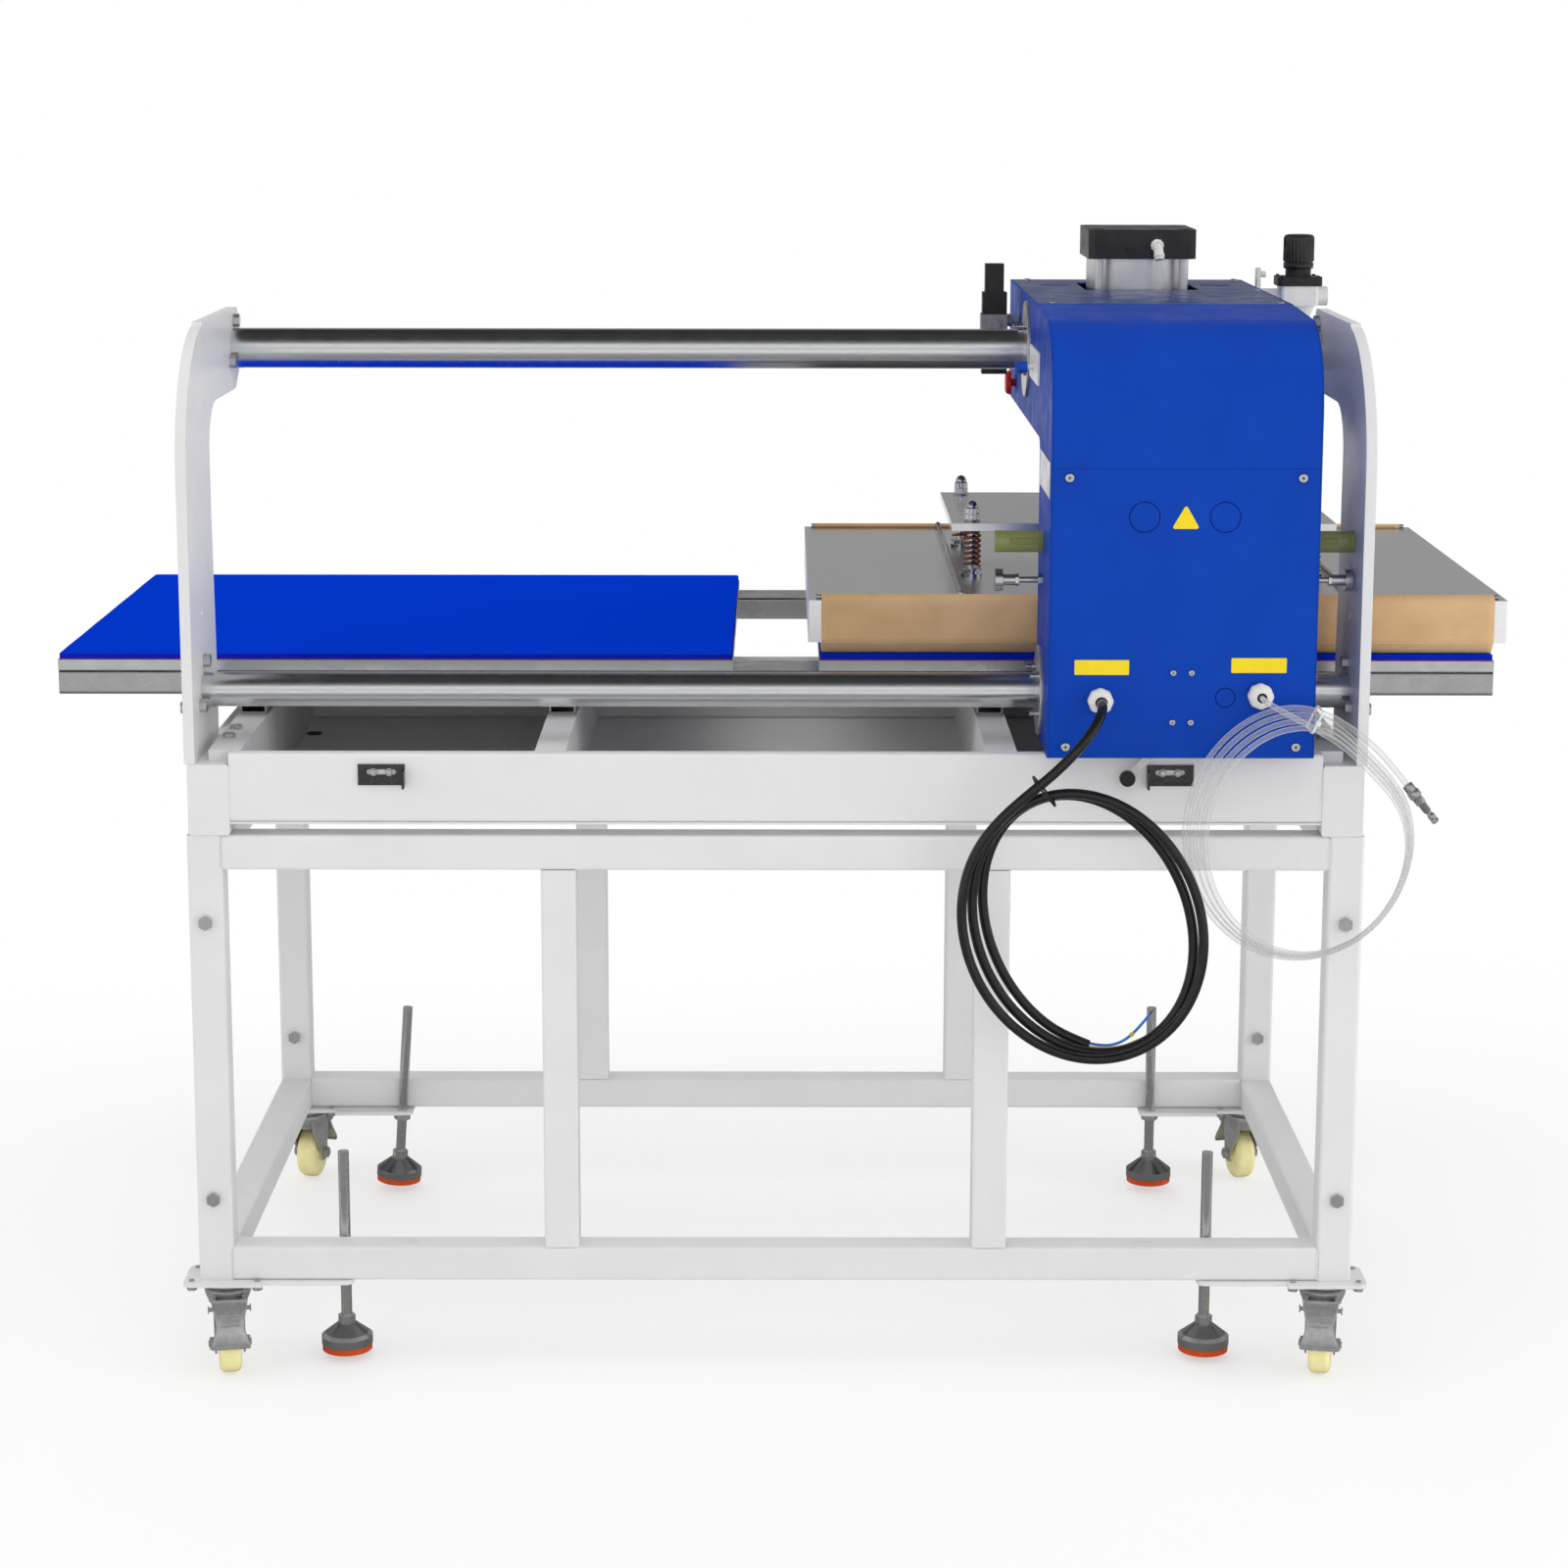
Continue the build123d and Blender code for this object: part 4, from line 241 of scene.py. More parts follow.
WHITE = powder_coat("white_coat", (0.74, 0.74, 0.74), (0.71, 0.71, 0.712), rough=0.42)
# A lighter copy of the white coat for the tray's inside faces: painted light, lifting them out of the shade
# under the beds.
WHITE_LIT_IN_TRAY = powder_coat("white_coat_inner_painted_light", (0.86, 0.86, 0.86), (0.82, 0.82, 0.82), rough=0.45)
BLUE = powder_coat("blue_coat", (0.001, 0.050, 0.41), (0.001, 0.044, 0.37), 0.48, 0.45, 0.10)
# A slightly darker copy of the head's blue for its side plates: painted shade.
BLUE_SIDE_SHADED = powder_coat("blue_side_painted_shade", (0.001, 0.044, 0.36), (0.001, 0.038, 0.32), 0.50, 0.45, 0.10)
# A darker copy of the head's blue for its upward top faces: painted shade for the dark reflection the glossy
# top takes from above.
BLUE_TOP_SHADED = powder_coat("blue_top_painted_shade", (0.001, 0.026, 0.19), (0.001, 0.025, 0.18), 0.30, 0.25, 0.45)
BLUE_LINE = powder_coat("blue_line", (0.001, 0.010, 0.10), (0.001, 0.008, 0.08), 0.50, 0.3, 0.05)
RAIL = metal("polished_rail", (0.80, 0.81, 0.82), 0.24, (0.64, 0.65, 0.66), (0.6, 40, 40), 60, 0.02, 0.03)
PLATE_TOP = metal("plate_aluminium", (0.66, 0.66, 0.67), 0.34, (0.56, 0.56, 0.57), (3, 60, 60), 20, 0.05)
PRESS = metal("press_steel", (0.80, 0.80, 0.81), 0.24, (0.785, 0.785, 0.795), (1, 30, 30), 14, 0.004, 0.02)
BAR = metal("bar_aluminium", (0.50, 0.50, 0.51), 0.30, (0.42, 0.42, 0.43), (3, 60, 60), 22, 0.06, 0.05)
ZINC = metal("zinc", (0.56, 0.56, 0.56), 0.28, (0.48, 0.48, 0.49), (1, 1, 1), 260, 0.05, 0.05, 0.8)
STEEL_DARK = metal("dark_steel", (0.10, 0.10, 0.105), 0.36, (0.05, 0.05, 0.05), (1, 1, 1), 220)
FOOT_CONE = metal("foot_cone", (0.20, 0.20, 0.205), 0.20, (0.18, 0.18, 0.185), (1, 1, 1), 400, 0.01, 0.02)
RIM = metal("foot_rim", (0.46, 0.46, 0.46), 0.24, (0.40, 0.40, 0.41), (1, 1, 1), 400, 0.02, 0.03)
CASTER = metal("caster_chrome", (0.52, 0.52, 0.52), 0.34, (0.40, 0.40, 0.41), (1, 1, 1), 120, 0.02, 0.06, 0.65)
ROD = metal("screw_rod", (0.62, 0.62, 0.62), 0.26, (0.56, 0.56, 0.57), (1, 1, 6), 900, 0.04, 0.03)
BARREL = metal("barrel_silver", (0.84, 0.84, 0.85), 0.38, (0.81, 0.81, 0.82), (30, 30, 1), 20, 0.002, 0.04)
CASING = metal("casing_steel", (0.90, 0.90, 0.91), 0.30, (0.88, 0.88, 0.89), (1, 30, 30), 10, 0.004, 0.02)
# A half-metallic copy of the casing steel for its upright faces, so that they read brighter: painted highlight
# for the bright softbox those faces reflect.
CASING_SIDE_LIT = metal("casing_edge_painted_highlight", (0.90, 0.90, 0.90), 0.46, (0.87, 0.87, 0.87), (1, 30, 30), 10, 0.004, 0.02,
                    0.5)
for sheet_metal in (PRESS, CASING):
    sheet_metal.bumped(sheet_metal.noise(2.6, (1, 3, 1), detail=1), 0.10, 0.004)
COPPER = metal("copper_wire", (0.36, 0.145, 0.06), 0.30, (0.24, 0.085, 0.035), (1, 1, 1), 300)
WHEEL = plastic("wheel_nylon", (0.94, 0.87, 0.44), 0.34, (0.86, 0.79, 0.38))
ORANGE = plastic("foot_rubber", (0.66, 0.085, 0.016), 0.65, (0.52, 0.06, 0.012), 500, 0.3, 0.12)
CAP = metal("cap_black", (0.062, 0.062, 0.066), 0.38, (0.045, 0.045, 0.048), (1, 1, 1), 700, 0.08)
GREY = plastic("valve_grey", (0.25, 0.25, 0.26), 0.45, (0.18, 0.18, 0.19))
BLACK = plastic("black_plastic", (0.012, 0.012, 0.013), 0.42, (0.022, 0.022, 0.022), 700, 0.3)
FITTING = plastic("fitting_white", (0.74, 0.74, 0.72), 0.35, (0.66, 0.66, 0.64))
RED = plastic("button_red", (0.60, 0.010, 0.010), 0.30, (0.48, 0.008, 0.008))
GREEN = plastic("button_green", (0.012, 0.32, 0.05), 0.28, (0.01, 0.24, 0.04))
KNOB_BLUE = plastic("knob_blue", (0.005, 0.07, 0.50), 0.30, (0.005, 0.055, 0.40))
PANEL = plastic("panel_grey", (0.10, 0.105, 0.11), 0.45, (0.08, 0.08, 0.085))
WOOL = plastic("wool_board", (0.60, 0.57, 0.50), 0.85, (0.50, 0.47, 0.40), 300, 0.8, 0.1)
SCREEN = Finish("screen_glass", (0.01, 0.014, 0.012), 0.08, coat=1.0, coat_rough=0.03)
SCREEN.mottled(SCREEN.noise(14, detail=4), (0.016, 0.02, 0.018)).worn(SCREEN.noise(60), 0.03)
YELLOW = plastic("sticker_yellow", (0.86, 0.66, 0.018), 0.42, (0.82, 0.62, 0.018), 300, 0.03, 0.15)
SILVER = metal("plate_silver", (0.66, 0.66, 0.66), 0.30, (0.58, 0.58, 0.58), (2, 60, 2), 30)
TIE_BLACK = plastic("tie_black", (0.012, 0.012, 0.012), 0.40, (0.02, 0.02, 0.02))
CABLE = plastic("cable_black", (0.009, 0.009, 0.009), 0.20, (0.013, 0.013, 0.013), 300, 0.01, 0.4)
CORE_BLUE = plastic("core_blue", (0.02, 0.20, 0.68), 0.35, (0.02, 0.16, 0.60))
CORE_YELLOW = plastic("core_yellow", (0.78, 0.52, 0.02), 0.35, (0.66, 0.44, 0.02))
PLUG = metal("plug_steel", (0.66, 0.66, 0.67), 0.20, (0.54, 0.54, 0.55))
QUICK_PLUG = metal("quick_plug_metal", (0.50, 0.50, 0.49), 0.26, (0.44, 0.44, 0.43), (1, 1, 1), 600, 0.04, 0.03,
                   0.85)
# Near-black flat crosses on screw heads: painted shade for the hollows of the cross recesses.
RECESS_SHADE = plastic("screw_recess_shade", (0.03, 0.03, 0.03), 0.6, (0.05, 0.05, 0.05), 500, 0.2, 0.1)
KNOB_BLACK = plastic("knob_black", (0.009, 0.009, 0.010), 0.22, (0.020, 0.020, 0.020), 700, 0.05, 0.45)


def clear_plastic(name, tint, thin, thick, rough):
    """See-through plastic: clearest where it is looked straight through, denser at its edges."""
    made = Finish(name, tint, rough, coat=0.6, coat_rough=0.05)
    made.mottled(made.noise(40, detail=3), tuple(c * 0.9 for c in tint))
    made.worn(made.noise(110), 0.04)
    edge = made.node("ShaderNodeLayerWeight")
    edge.inputs["Blend"].default_value = 0.45
    made.links.new(made.ranged(edge.outputs["Facing"], thin, thick, 0.1, 0.9), made.shader.inputs["Alpha"])
    return made


HOSE = clear_plastic("hose_clear", (0.64, 0.65, 0.65), 0.18, 0.84, 0.10)
BUFFER = clear_plastic("buffer_clear", (0.24, 0.27, 0.05), 0.62, 0.97, 0.12)


def silicone():
    made = Finish("pad_silicone", (0.001, 0.040, 0.60), 0.72, specular=0.0)
    made.mottled(made.noise(3, detail=5), (0.001, 0.036, 0.56))
    made.worn(made.noise(30), 0.08)
    made.bumped(made.noise(1500, detail=2), 0.25, 0.0003)
    return made


def coated_glass_cloth():
    """Tan PTFE-coated glass cloth: a fine square weave under a waxy sheen."""
    made = Finish("ptfe_cloth", (0.68, 0.45, 0.24), 0.36, specular=0.30)
    made.mottled(made.noise(2.6, (1, 1, 1.6), detail=4), (0.50, 0.30, 0.14), 0.40, 0.66)
    for direction in ("X", "Z"):
        wave = made.node("ShaderNodeTexWave", bands_direction=direction)
        wave.inputs["Scale"].default_value = 180
        wave.inputs["Distortion"].default_value = 0.4
        made.links.new(made.coords, wave.inputs["Vector"])
        made.bumped(wave.outputs["Fac"], 0.10, 0.0003)
    made.worn(made.noise(18, (1, 1, 3), detail=4), 0.10)
    return made.bumped(made.noise(16, (1.6, 1, 0.5), detail=3), 0.35, 0.004)


PAD = silicone()
PAD_EDGE = plastic("pad_edge", (0.001, 0.014, 0.42), 0.60, (0.001, 0.011, 0.36), 600, 0.3, 0.05)
RED_LINE = plastic("pad_glue", (0.25, 0.01, 0.02), 0.55, (0.18, 0.01, 0.02), 600, 0.3)
PTFE = coated_glass_cloth()


def dress(node, *finishes):
    """Gives a CAD node its finishes: the first everywhere, each later one where its test holds.

    A test is given the middle of a face, in the cart's millimetres, and its normal.
    """
    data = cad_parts[node].data
    data.materials.clear()
    for finish in finishes:
        data.materials.append(finish[0].material if isinstance(finish, tuple) else finish.material)
    for face in data.polygons:
        face.material_index = 0
        centre = face.center * 1000 - SHIFT
        for index, finish in enumerate(finishes):
            if isinstance(finish, tuple) and finish[1](centre, face.normal):
                face.material_index = index


# Faces inside the tray, which take the lighter copy of the white: painted light.
def inside_tray_painted_light(centre, normal):
    return 25 < centre.y < 787 and centre.z < TRAY_TOP and abs(centre.x) < 760


def in_elbow_tube(centre, normal):
    x, y, radius = ELBOW_TUBE
    return centre.z < ELBOW_Z - 23 and math.hypot(centre.x - x, centre.y - y) < radius


def on_switch_roller(centre, normal):
    x, z, radius = SWITCH_ROLLER
    return math.hypot(centre.x - x, centre.z - z) < radius


def on_screen(centre, normal):
    return abs(centre.y - 862) < 1.5 and abs(centre.x - 535) < 65


def dress_cad():
    for node in ("cart_legs", "cart_beams", "caster_plates", "uprights"):
        dress(node, WHITE)
    dress("tray_frame", WHITE, (WHITE_LIT_IN_TRAY, inside_tray_painted_light))
    dress("frame_bolts", ZINC, (CASTER, lambda c, n: c.z < CASTER_MOUNT_TOP))
    dress("guide_rails", RAIL)
    dress("beds", BAR, (PLATE_TOP, lambda c, n: c.z > BED_BAR_TOP - 0.1))
    dress("striker_brackets", STEEL_DARK)
    for corner in CORNERS:
        dress(f"caster_{corner}_fork", CASTER)
        dress(f"caster_{corner}_wheel", WHEEL)
        dress(f"foot_{corner}", FOOT_CONE, (ORANGE, lambda c, n: c.z < FOOT_PAD_TOP),
              (RIM, lambda c, n: FOOT_PAD_TOP <= c.z < FOOT_RIM_TOP and abs(n.z) < 0.9),
              (ROD, lambda c, n: c.z > FOOT_CONE_TOP))
    # The head's side plates take the darker copy of the blue: painted shade.
    dress("head_sides", BLUE_SIDE_SHADED)
    # The cover's upward faces behind the slope take the darker copy: painted shade.
    dress("head_cover", BLUE, (BLUE_TOP_SHADED, lambda c, n: n.z > 0.9 and c.y > HEAD_SLOPE_END))
    dress("head_panels", BLUE)
    dress("bearing_caps", ZINC)
    dress("head_screws", PLUG)
    dress("cylinder_barrel", BARREL)
    dress("cylinder_cap", CAP)
    dress("fittings", FITTING, (BLACK, lambda c, n: c.z > 1580 and c.x < 560), (HOSE, in_elbow_tube))
    dress("regulator_body", FITTING, (BLACK, lambda c, n: c.z > 1532.5 and c.x > 780))
    dress("solenoid_valve", GREY, (BLACK, lambda c, n: not 94 <= c.z - ARM_BOTTOM <= 144))
    dress("limit_switch", BLACK)
    dress("switch_lever", ZINC, (BLACK, on_switch_roller))
    dress("control_panel", PANEL, (FITTING, lambda c, n: c.y < 800), (SILVER, lambda c, n: c.y < 150),
          (SCREEN, on_screen))
    dress("buffers", BUFFER)
    dress("travel_stops", PLUG)
    dress("stop_button", RED)
    dress("start_button", GREEN)
    dress("side_knob", KNOB_BLUE, (FITTING, lambda c, n: c.x > 366))
    dress("piston_rod", RAIL)
    dress("press_plate", PRESS)
    dress("press_hardware", PLUG)
    dress("springs", COPPER)
    # The casing's upright faces take the brighter copy: painted highlight.
    dress("platen_cover", CASING, (CASING_SIDE_LIT, lambda c, n: abs(n.z) < 0.5),
          (ZINC, lambda c, n: c.z > PLATEN_TOP + 0.3))
    dress("heat_plate", PLATE_TOP)
    dress("insulation", WOOL)
    dress("cable_ties", TIE_BLACK, (FITTING, lambda c, n: c.x > 500))


# Cords: the same points and coil formulas as the CAD source

MAINS_D, CORE_D, HOSE_D = 14.0, 4.0, 8.0
MAINS_TURNS, HOSE_TURNS = 2.375, 4.0
MAINS_ROUTE = [(451.0, -76.0, 1004.0), (451.0, -100.0, 1004.0), (446.0, -123.6, 994.0), (434.0, -141.0, 977.0),
               (414.0, -150.0, 953.0), (382.0, -152.0, 920.0), (341.5, -150.6, 886.2)]
HOSE_ROUTE = [(673.5, -76.0, 1011.0), (673.5, -92.0, 1011.0), (680.0, -105.5, 1008.0), (692.0, -114.5, 1002.0),
              (709.0, -116.5, 993.0), (730.0, -111.0, 981.5), (755.0, -106.2, 966.8)]
HOSE_TAIL = [(788.9, -67.8, 974.3), (811.0, -68.5, 959.0), (836.0, -70.5, 938.0), (858.0, -73.0, 914.0)]
PLUG_START = (878.0, -75.5, 889.0)
BLUE_CORE = [(438.3, -114.4, 527.3), (459.7, -114.0, 522.3), (485.0, -112.0, 527.5), (507.0, -110.0, 546.0),
             (523.5, -108.5, 567.5)]
YELLOW_CORE = [(437.2, -116.0, 522.5), (458.0, -120.0, 521.0), (484.0, -122.0, 524.0), (507.0, -122.0, 534.0),
               (524.0, -120.0, 541.0)]


def mains_coil_point(u):
    lean = math.radians(22)
    angle = math.radians(130) + 2 * math.pi * u - lean
    short = (170.4 - 16.0 * u) * math.cos(angle)
    long = (196.6 - 4.0 * u) * math.sin(angle)
    return (427.4 + 1.5 * u + short * math.cos(lean) - long * math.sin(lean),
            -150.0 + 15.0 * u,
            702.0 + short * math.sin(lean) + long * math.cos(lean))


def hose_coil_point(u):
    angle = math.radians(75) - 2 * math.pi * u
    flat = 1 - 0.13 * max(0.0, math.cos(angle - math.radians(48))) ** 8
    return (740.0 - 2.5 * u + flat * (138.6 + 5.9 * u) * math.cos(angle),
            -106.0 + 9.5 * u,
            811.0 + 1.8 * u + flat * (158.0 + 6.1 * u) * math.sin(angle))


def turns(point, count, per_turn=24):
    steps = round(count * per_turn)
    return [point(count * k / steps) for k in range(steps + 1)]


def cord_curve(name, points, diameter, finish):
    """A smooth round cord on a NURBS spline whose control points are the route."""
    data = bpy.data.curves.new(name, "CURVE")
    data.dimensions = "3D"
    spline = data.splines.new("NURBS")
    spline.points.add(len(points) - 1)
    for control, point in zip(spline.points, points):
        control.co = (*place(*point), 1)
    spline.order_u = 3
    spline.use_endpoint_u = True
    data.resolution_u = 8
    data.bevel_depth = diameter / 2000
    data.bevel_resolution = 5
    data.use_fill_caps = True
    data.materials.append(finish.material)
    obj = bpy.data.objects.new(name, data)
    bpy.context.collection.objects.link(obj)
    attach(obj, "head")
    return obj


def run_length(points):
    """Length of the smooth spline on these points, in metres, from its own formula."""
    total, last = 0.0, place(*points[0])
    spans = len(points) - 2
    for i in range(spans):
        a, b, c = (place(*p) for p in points[i:i + 3])
        start = a if i == 0 else (a + b) / 2
        stop = c if i == spans - 1 else (b + c) / 2
        for k in range(1, 9):
            t = k / 8
            spot = start * (1 - t) ** 2 + b * 2 * t * (1 - t) + stop * t ** 2
            total += (spot - last).length
            last = spot
    return total


def make_cords():
    mains = MAINS_ROUTE + turns(mains_coil_point, MAINS_TURNS)
    cable = cord_curve("mains_lead", mains, MAINS_D, CABLE)
    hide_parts("mains_cable", "mains_coil")
    blue = cord_curve("core_blue_lead", BLUE_CORE, CORE_D, CORE_BLUE)
    yellow = cord_curve("core_yellow_lead", YELLOW_CORE, CORE_D, CORE_YELLOW)
    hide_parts("mains_cores")
    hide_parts("mains_cores")
    hose = HOSE_ROUTE + turns(hose_coil_point, HOSE_TURNS) + HOSE_TAIL + [PLUG_START]
    tube = cord_curve("clear_hose", hose, HOSE_D, HOSE)
    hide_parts("air_hose", "air_coil")
    sleeve = sleeve_on(BLUE_CORE, 0.52, 0.72, 6.0, "marker_sleeve", CORE_YELLOW)
    tip = beyond(BLUE_CORE, 9.0, 2.6, "copper_tip", COPPER)
    lug = beyond(YELLOW_CORE, 12.0, 4.8, "ring_lug", COPPER)
    plug = make_hose_plug()
    run_length(mains)
    run_length(BLUE_CORE)
    run_length(YELLOW_CORE)
    run_length(hose)


# Mesh helpers

def piece(name, mesh_maker, finish, body, smooth=False):
    """A new piece from a function that fills a bmesh in row metres."""
    bm = bmesh.new()
    mesh_maker(bm)
    bmesh.ops.recalc_face_normals(bm, faces=bm.faces)
    data = bpy.data.meshes.new(name)
    bm.to_mesh(data)
    bm.free()
    data.materials.append(finish.material)
    for face in data.polygons:
        face.use_smooth = smooth
    obj = bpy.data.objects.new(name, data)
    bpy.context.collection.objects.link(obj)
    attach(obj, body)
    return obj


def frame_along(direction):
    """Two directions across one."""
    across = Vector((0, 0, 1)) if abs(direction.z) < 0.9 else Vector((1, 0, 0))
    u = direction.cross(across).normalized()
    return u, direction.cross(u).normalized()


def lathe(bm, start, direction, profile, sides=32, closed=False, ribs=0):
    """A turned form from a start in the cart's frame: (distance along, radius) pairs in millimetres.

    A third number is how deep that ring's ribs are cut. A closed section runs back to its first ring.
    """
    direction = Vector(direction).normalized()
    u, v = frame_along(direction)
    rings = []
    for along, radius, *cut in profile:
        centre = Vector(start) + direction * along
        if radius <= 0:
            rings.append([bm.verts.new(place(*centre))])
            continue
        ring = []
        for k in range(sides):
            a = 2 * math.pi * k / sides
            r = radius - (cut[0] * (0.5 - 0.5 * math.cos(ribs * a)) if cut else 0.0)
            ring.append(bm.verts.new(place(*(centre + (u * math.cos(a) + v * math.sin(a)) * r))))
        rings.append(ring)
    for a, b in zip(rings, rings[1:] + (rings[:1] if closed else [])):
        for k in range(sides):
            corners = [a[k % len(a)], a[(k + 1) % len(a)], b[(k + 1) % len(b)], b[k % len(b)]]
            corners = list(dict.fromkeys(corners))
            if len(corners) > 2:
                bm.faces.new(corners)
    for ring in () if closed else (rings[0], rings[-1]):
        if len(ring) > 2:
            bm.faces.new(ring)


def slab(bm, middle, u, v, outline, thick, ease=0.0):
    """A flat form: an outline along u and v round a middle, thickened along u x v, its outer edge eased."""
    u, v = Vector(u), Vector(v)
    out = u.cross(v)
    rings = []
    for height, inset in ((0.0, 0.0), (thick - ease, 0.0), (thick, ease)):
        ring = []
        for a, b in outline:
            shrink = 1 - inset / max(math.hypot(a, b), 0.001)
            ring.append(bm.verts.new(place(*(Vector(middle) + (u * a + v * b) * shrink + out * height))))
        rings.append(ring)
    for a, b in zip(rings, rings[1:]):
        for k in range(len(a)):
            bm.faces.new((a[k], a[(k + 1) % len(a)], b[(k + 1) % len(b)], b[k]))
    bm.faces.new(rings[0])
    bm.faces.new(rings[-1])


def rounded(corners, radius, steps=5):
    """An outline through corners given anticlockwise, each rounded."""
    points = []
    for k, corner in enumerate(corners):
        here = Vector(corner)
        to_last = (Vector(corners[k - 1]) - here).normalized()
        to_next = (Vector(corners[(k + 1) % len(corners)]) - here).normalized()
        half = to_last.angle(to_next) / 2
        reach = radius / math.tan(half)
        middle = here + (to_last + to_next).normalized() * (radius / math.sin(half))
        a, b = here + to_last * reach - middle, here + to_next * reach - middle
        turn = a.angle(b)
        for i in range(steps + 1):
            t = i / steps
            mix = (a * math.sin((1 - t) * turn) + b * math.sin(t * turn)) / math.sin(turn)
            points.append(tuple(middle + mix))
    return points


def box_outline(width, height, radius, steps=5):
    w, h = width / 2, height / 2
    return rounded([(-w, -h), (w, -h), (w, h), (-w, h)], radius, steps)


def cross_outline(arm, half_width):
    a, w = arm, half_width
    return [(w, -a), (w, -w), (a, -w), (a, w), (w, w), (w, a),
            (-w, a), (-w, w), (-a, w), (-a, -w), (-w, -w), (-w, -a)]


def sleeve_on(route, a, b, diameter, name, finish):
    """A short sleeve round a core, between two fractions of its third run."""
    p, q = Vector(route[2]), Vector(route[3])
    start, stop = p.lerp(q, a), p.lerp(q, b)
    profile = [(0, diameter / 2 - 0.6), (0.5, diameter / 2), ((stop - start).length, diameter / 2),
               ((stop - start).length + 0.5, diameter / 2 - 0.6)]
    return piece(name, lambda bm: lathe(bm, start, stop - start, profile, 20), finish, "head",
                 True)


def beyond(route, length, diameter, name, finish):
    """Metal end that carries on from a core."""
    end = Vector(route[-1])
    profile = [(-2, diameter / 2), (length * 0.5, diameter / 2), (length * 0.55, diameter / 2 - 0.5),
               (length, diameter / 2 - 0.7)]
    return piece(name, lambda bm: lathe(bm, end, end - Vector(route[-2]), profile, 20), finish, "head",
                 True)


# Soft sheets and pads

def make_pads():
    for side, name in ((-1, "left_pad_sheet"), (1, "right_pad_sheet")):
        def fill(bm, side=side):
            pad_slab(bm, side * STATION_X)
        pad = piece(name, fill, PAD, "frame", True)
        pad.data.materials.append(PAD_EDGE.material)
        pad.data.materials.append(RED_LINE.material)
        for face in pad.data.polygons:
            z = face.center.z * 1000
            if abs(face.normal.z) < 0.75:
                face.material_index = 2 if z < BED_TOP + 1.6 else 1
            else:
                face.use_smooth = True
        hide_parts("silicone_pads")


def pad_slab(bm, x):
    """A sponge sheet with softly rounded upper edges and faintly uneven sides."""
    half_w, y0, y1, corner = PAD_W / 2, PAD_REAR, PAD_FRONT, PAD_CORNER
    outline = []
    for cx, cy, start in ((half_w - corner, y1 - corner, 0), (-half_w + corner, y1 - corner, 90),
                          (-half_w + corner, y0 + corner, 180), (half_w - corner, y0 + corner, 270)):
        for k in range(5):
            a = math.radians(start + 22.5 * k)
            outline.append((cx + corner * math.cos(a), cy + corner * math.sin(a)))
    dense = []
    for (ax, ay), (bx, by) in zip(outline, outline[1:] + outline[:1]):
        steps = max(1, int(math.hypot(bx - ax, by - ay) / 25))
        dense += [(ax + (bx - ax) * k / steps, ay + (by - ay) * k / steps) for k in range(steps)]
    levels = [(0.0, 0.0), (1.5, 0.0), (1.7, 0.35), (7.6, 0.35), (8.7, 0.7), (9.3, 1.6), (9.5, 3.2)]
    rings = []
    for height, inset in levels:
        ring = []
        for px, py in dense:
            wave = 0.25 * math.sin(px * 0.05 + py * 0.031) * (height > 1)
            fx = 1 - (inset + wave) / half_w
            fy = 1 - (inset + wave) / ((y1 - y0) / 2)
            middle = (y0 + y1) / 2
            ring.append(bm.verts.new(place(x + px * fx, middle + (py - middle) * fy, BED_TOP + 0.05 + height)))
        rings.append(ring)
    for a, b in zip(rings, rings[1:]):
        for k in range(len(a)):
            bm.faces.new((a[k], a[(k + 1) % len(a)], b[(k + 1) % len(b)], b[k]))
    bm.faces.new(rings[0])
    bm.faces.new(rings[-1])


def cloth_profile():
    """The PTFE sheet's line across the platen: from the rear rod down, under, and up to the front rod."""
    rod_in, rod_r, lift = 14.0, 3.5, 0.5
    out = 0.5
    loop = []
    for k in range(9):
        a = math.radians(-110 + 27.5 * k)
        loop.append((math.cos(a) * (rod_r + lift), math.sin(a) * (rod_r + lift)))
    rear = [(PLATEN_REAR + rod_in + y, PLATEN_TOP + rod_r + z) for y, z in loop]
    down = [(PLATEN_REAR + 4, PLATEN_TOP + 4.2), (PLATEN_REAR - out, PLATEN_TOP + 0.4)]
    down += [(PLATEN_REAR - out, PLATEN_TOP - (PLATEN_TOP - PLATEN_BOTTOM) * k / 8) for k in range(1, 8)]
    down += [(PLATEN_REAR - out, PLATEN_BOTTOM + 1), (PLATEN_REAR + 4, PLATEN_BOTTOM - 4)]
    under = [(PRESS_Y - HEAT_HALF - 0.6, HEAT_BOTTOM + 0.5)]
    under += [(PRESS_Y - HEAT_HALF + 2 * HEAT_HALF * k / 20, HEAT_BOTTOM - 0.7) for k in range(21)]
    line = rear + down + under
    mirrored = [(2 * PRESS_Y - y, z) for y, z in line[:len(rear) + len(down) + 1]]
    return line + mirrored[::-1]


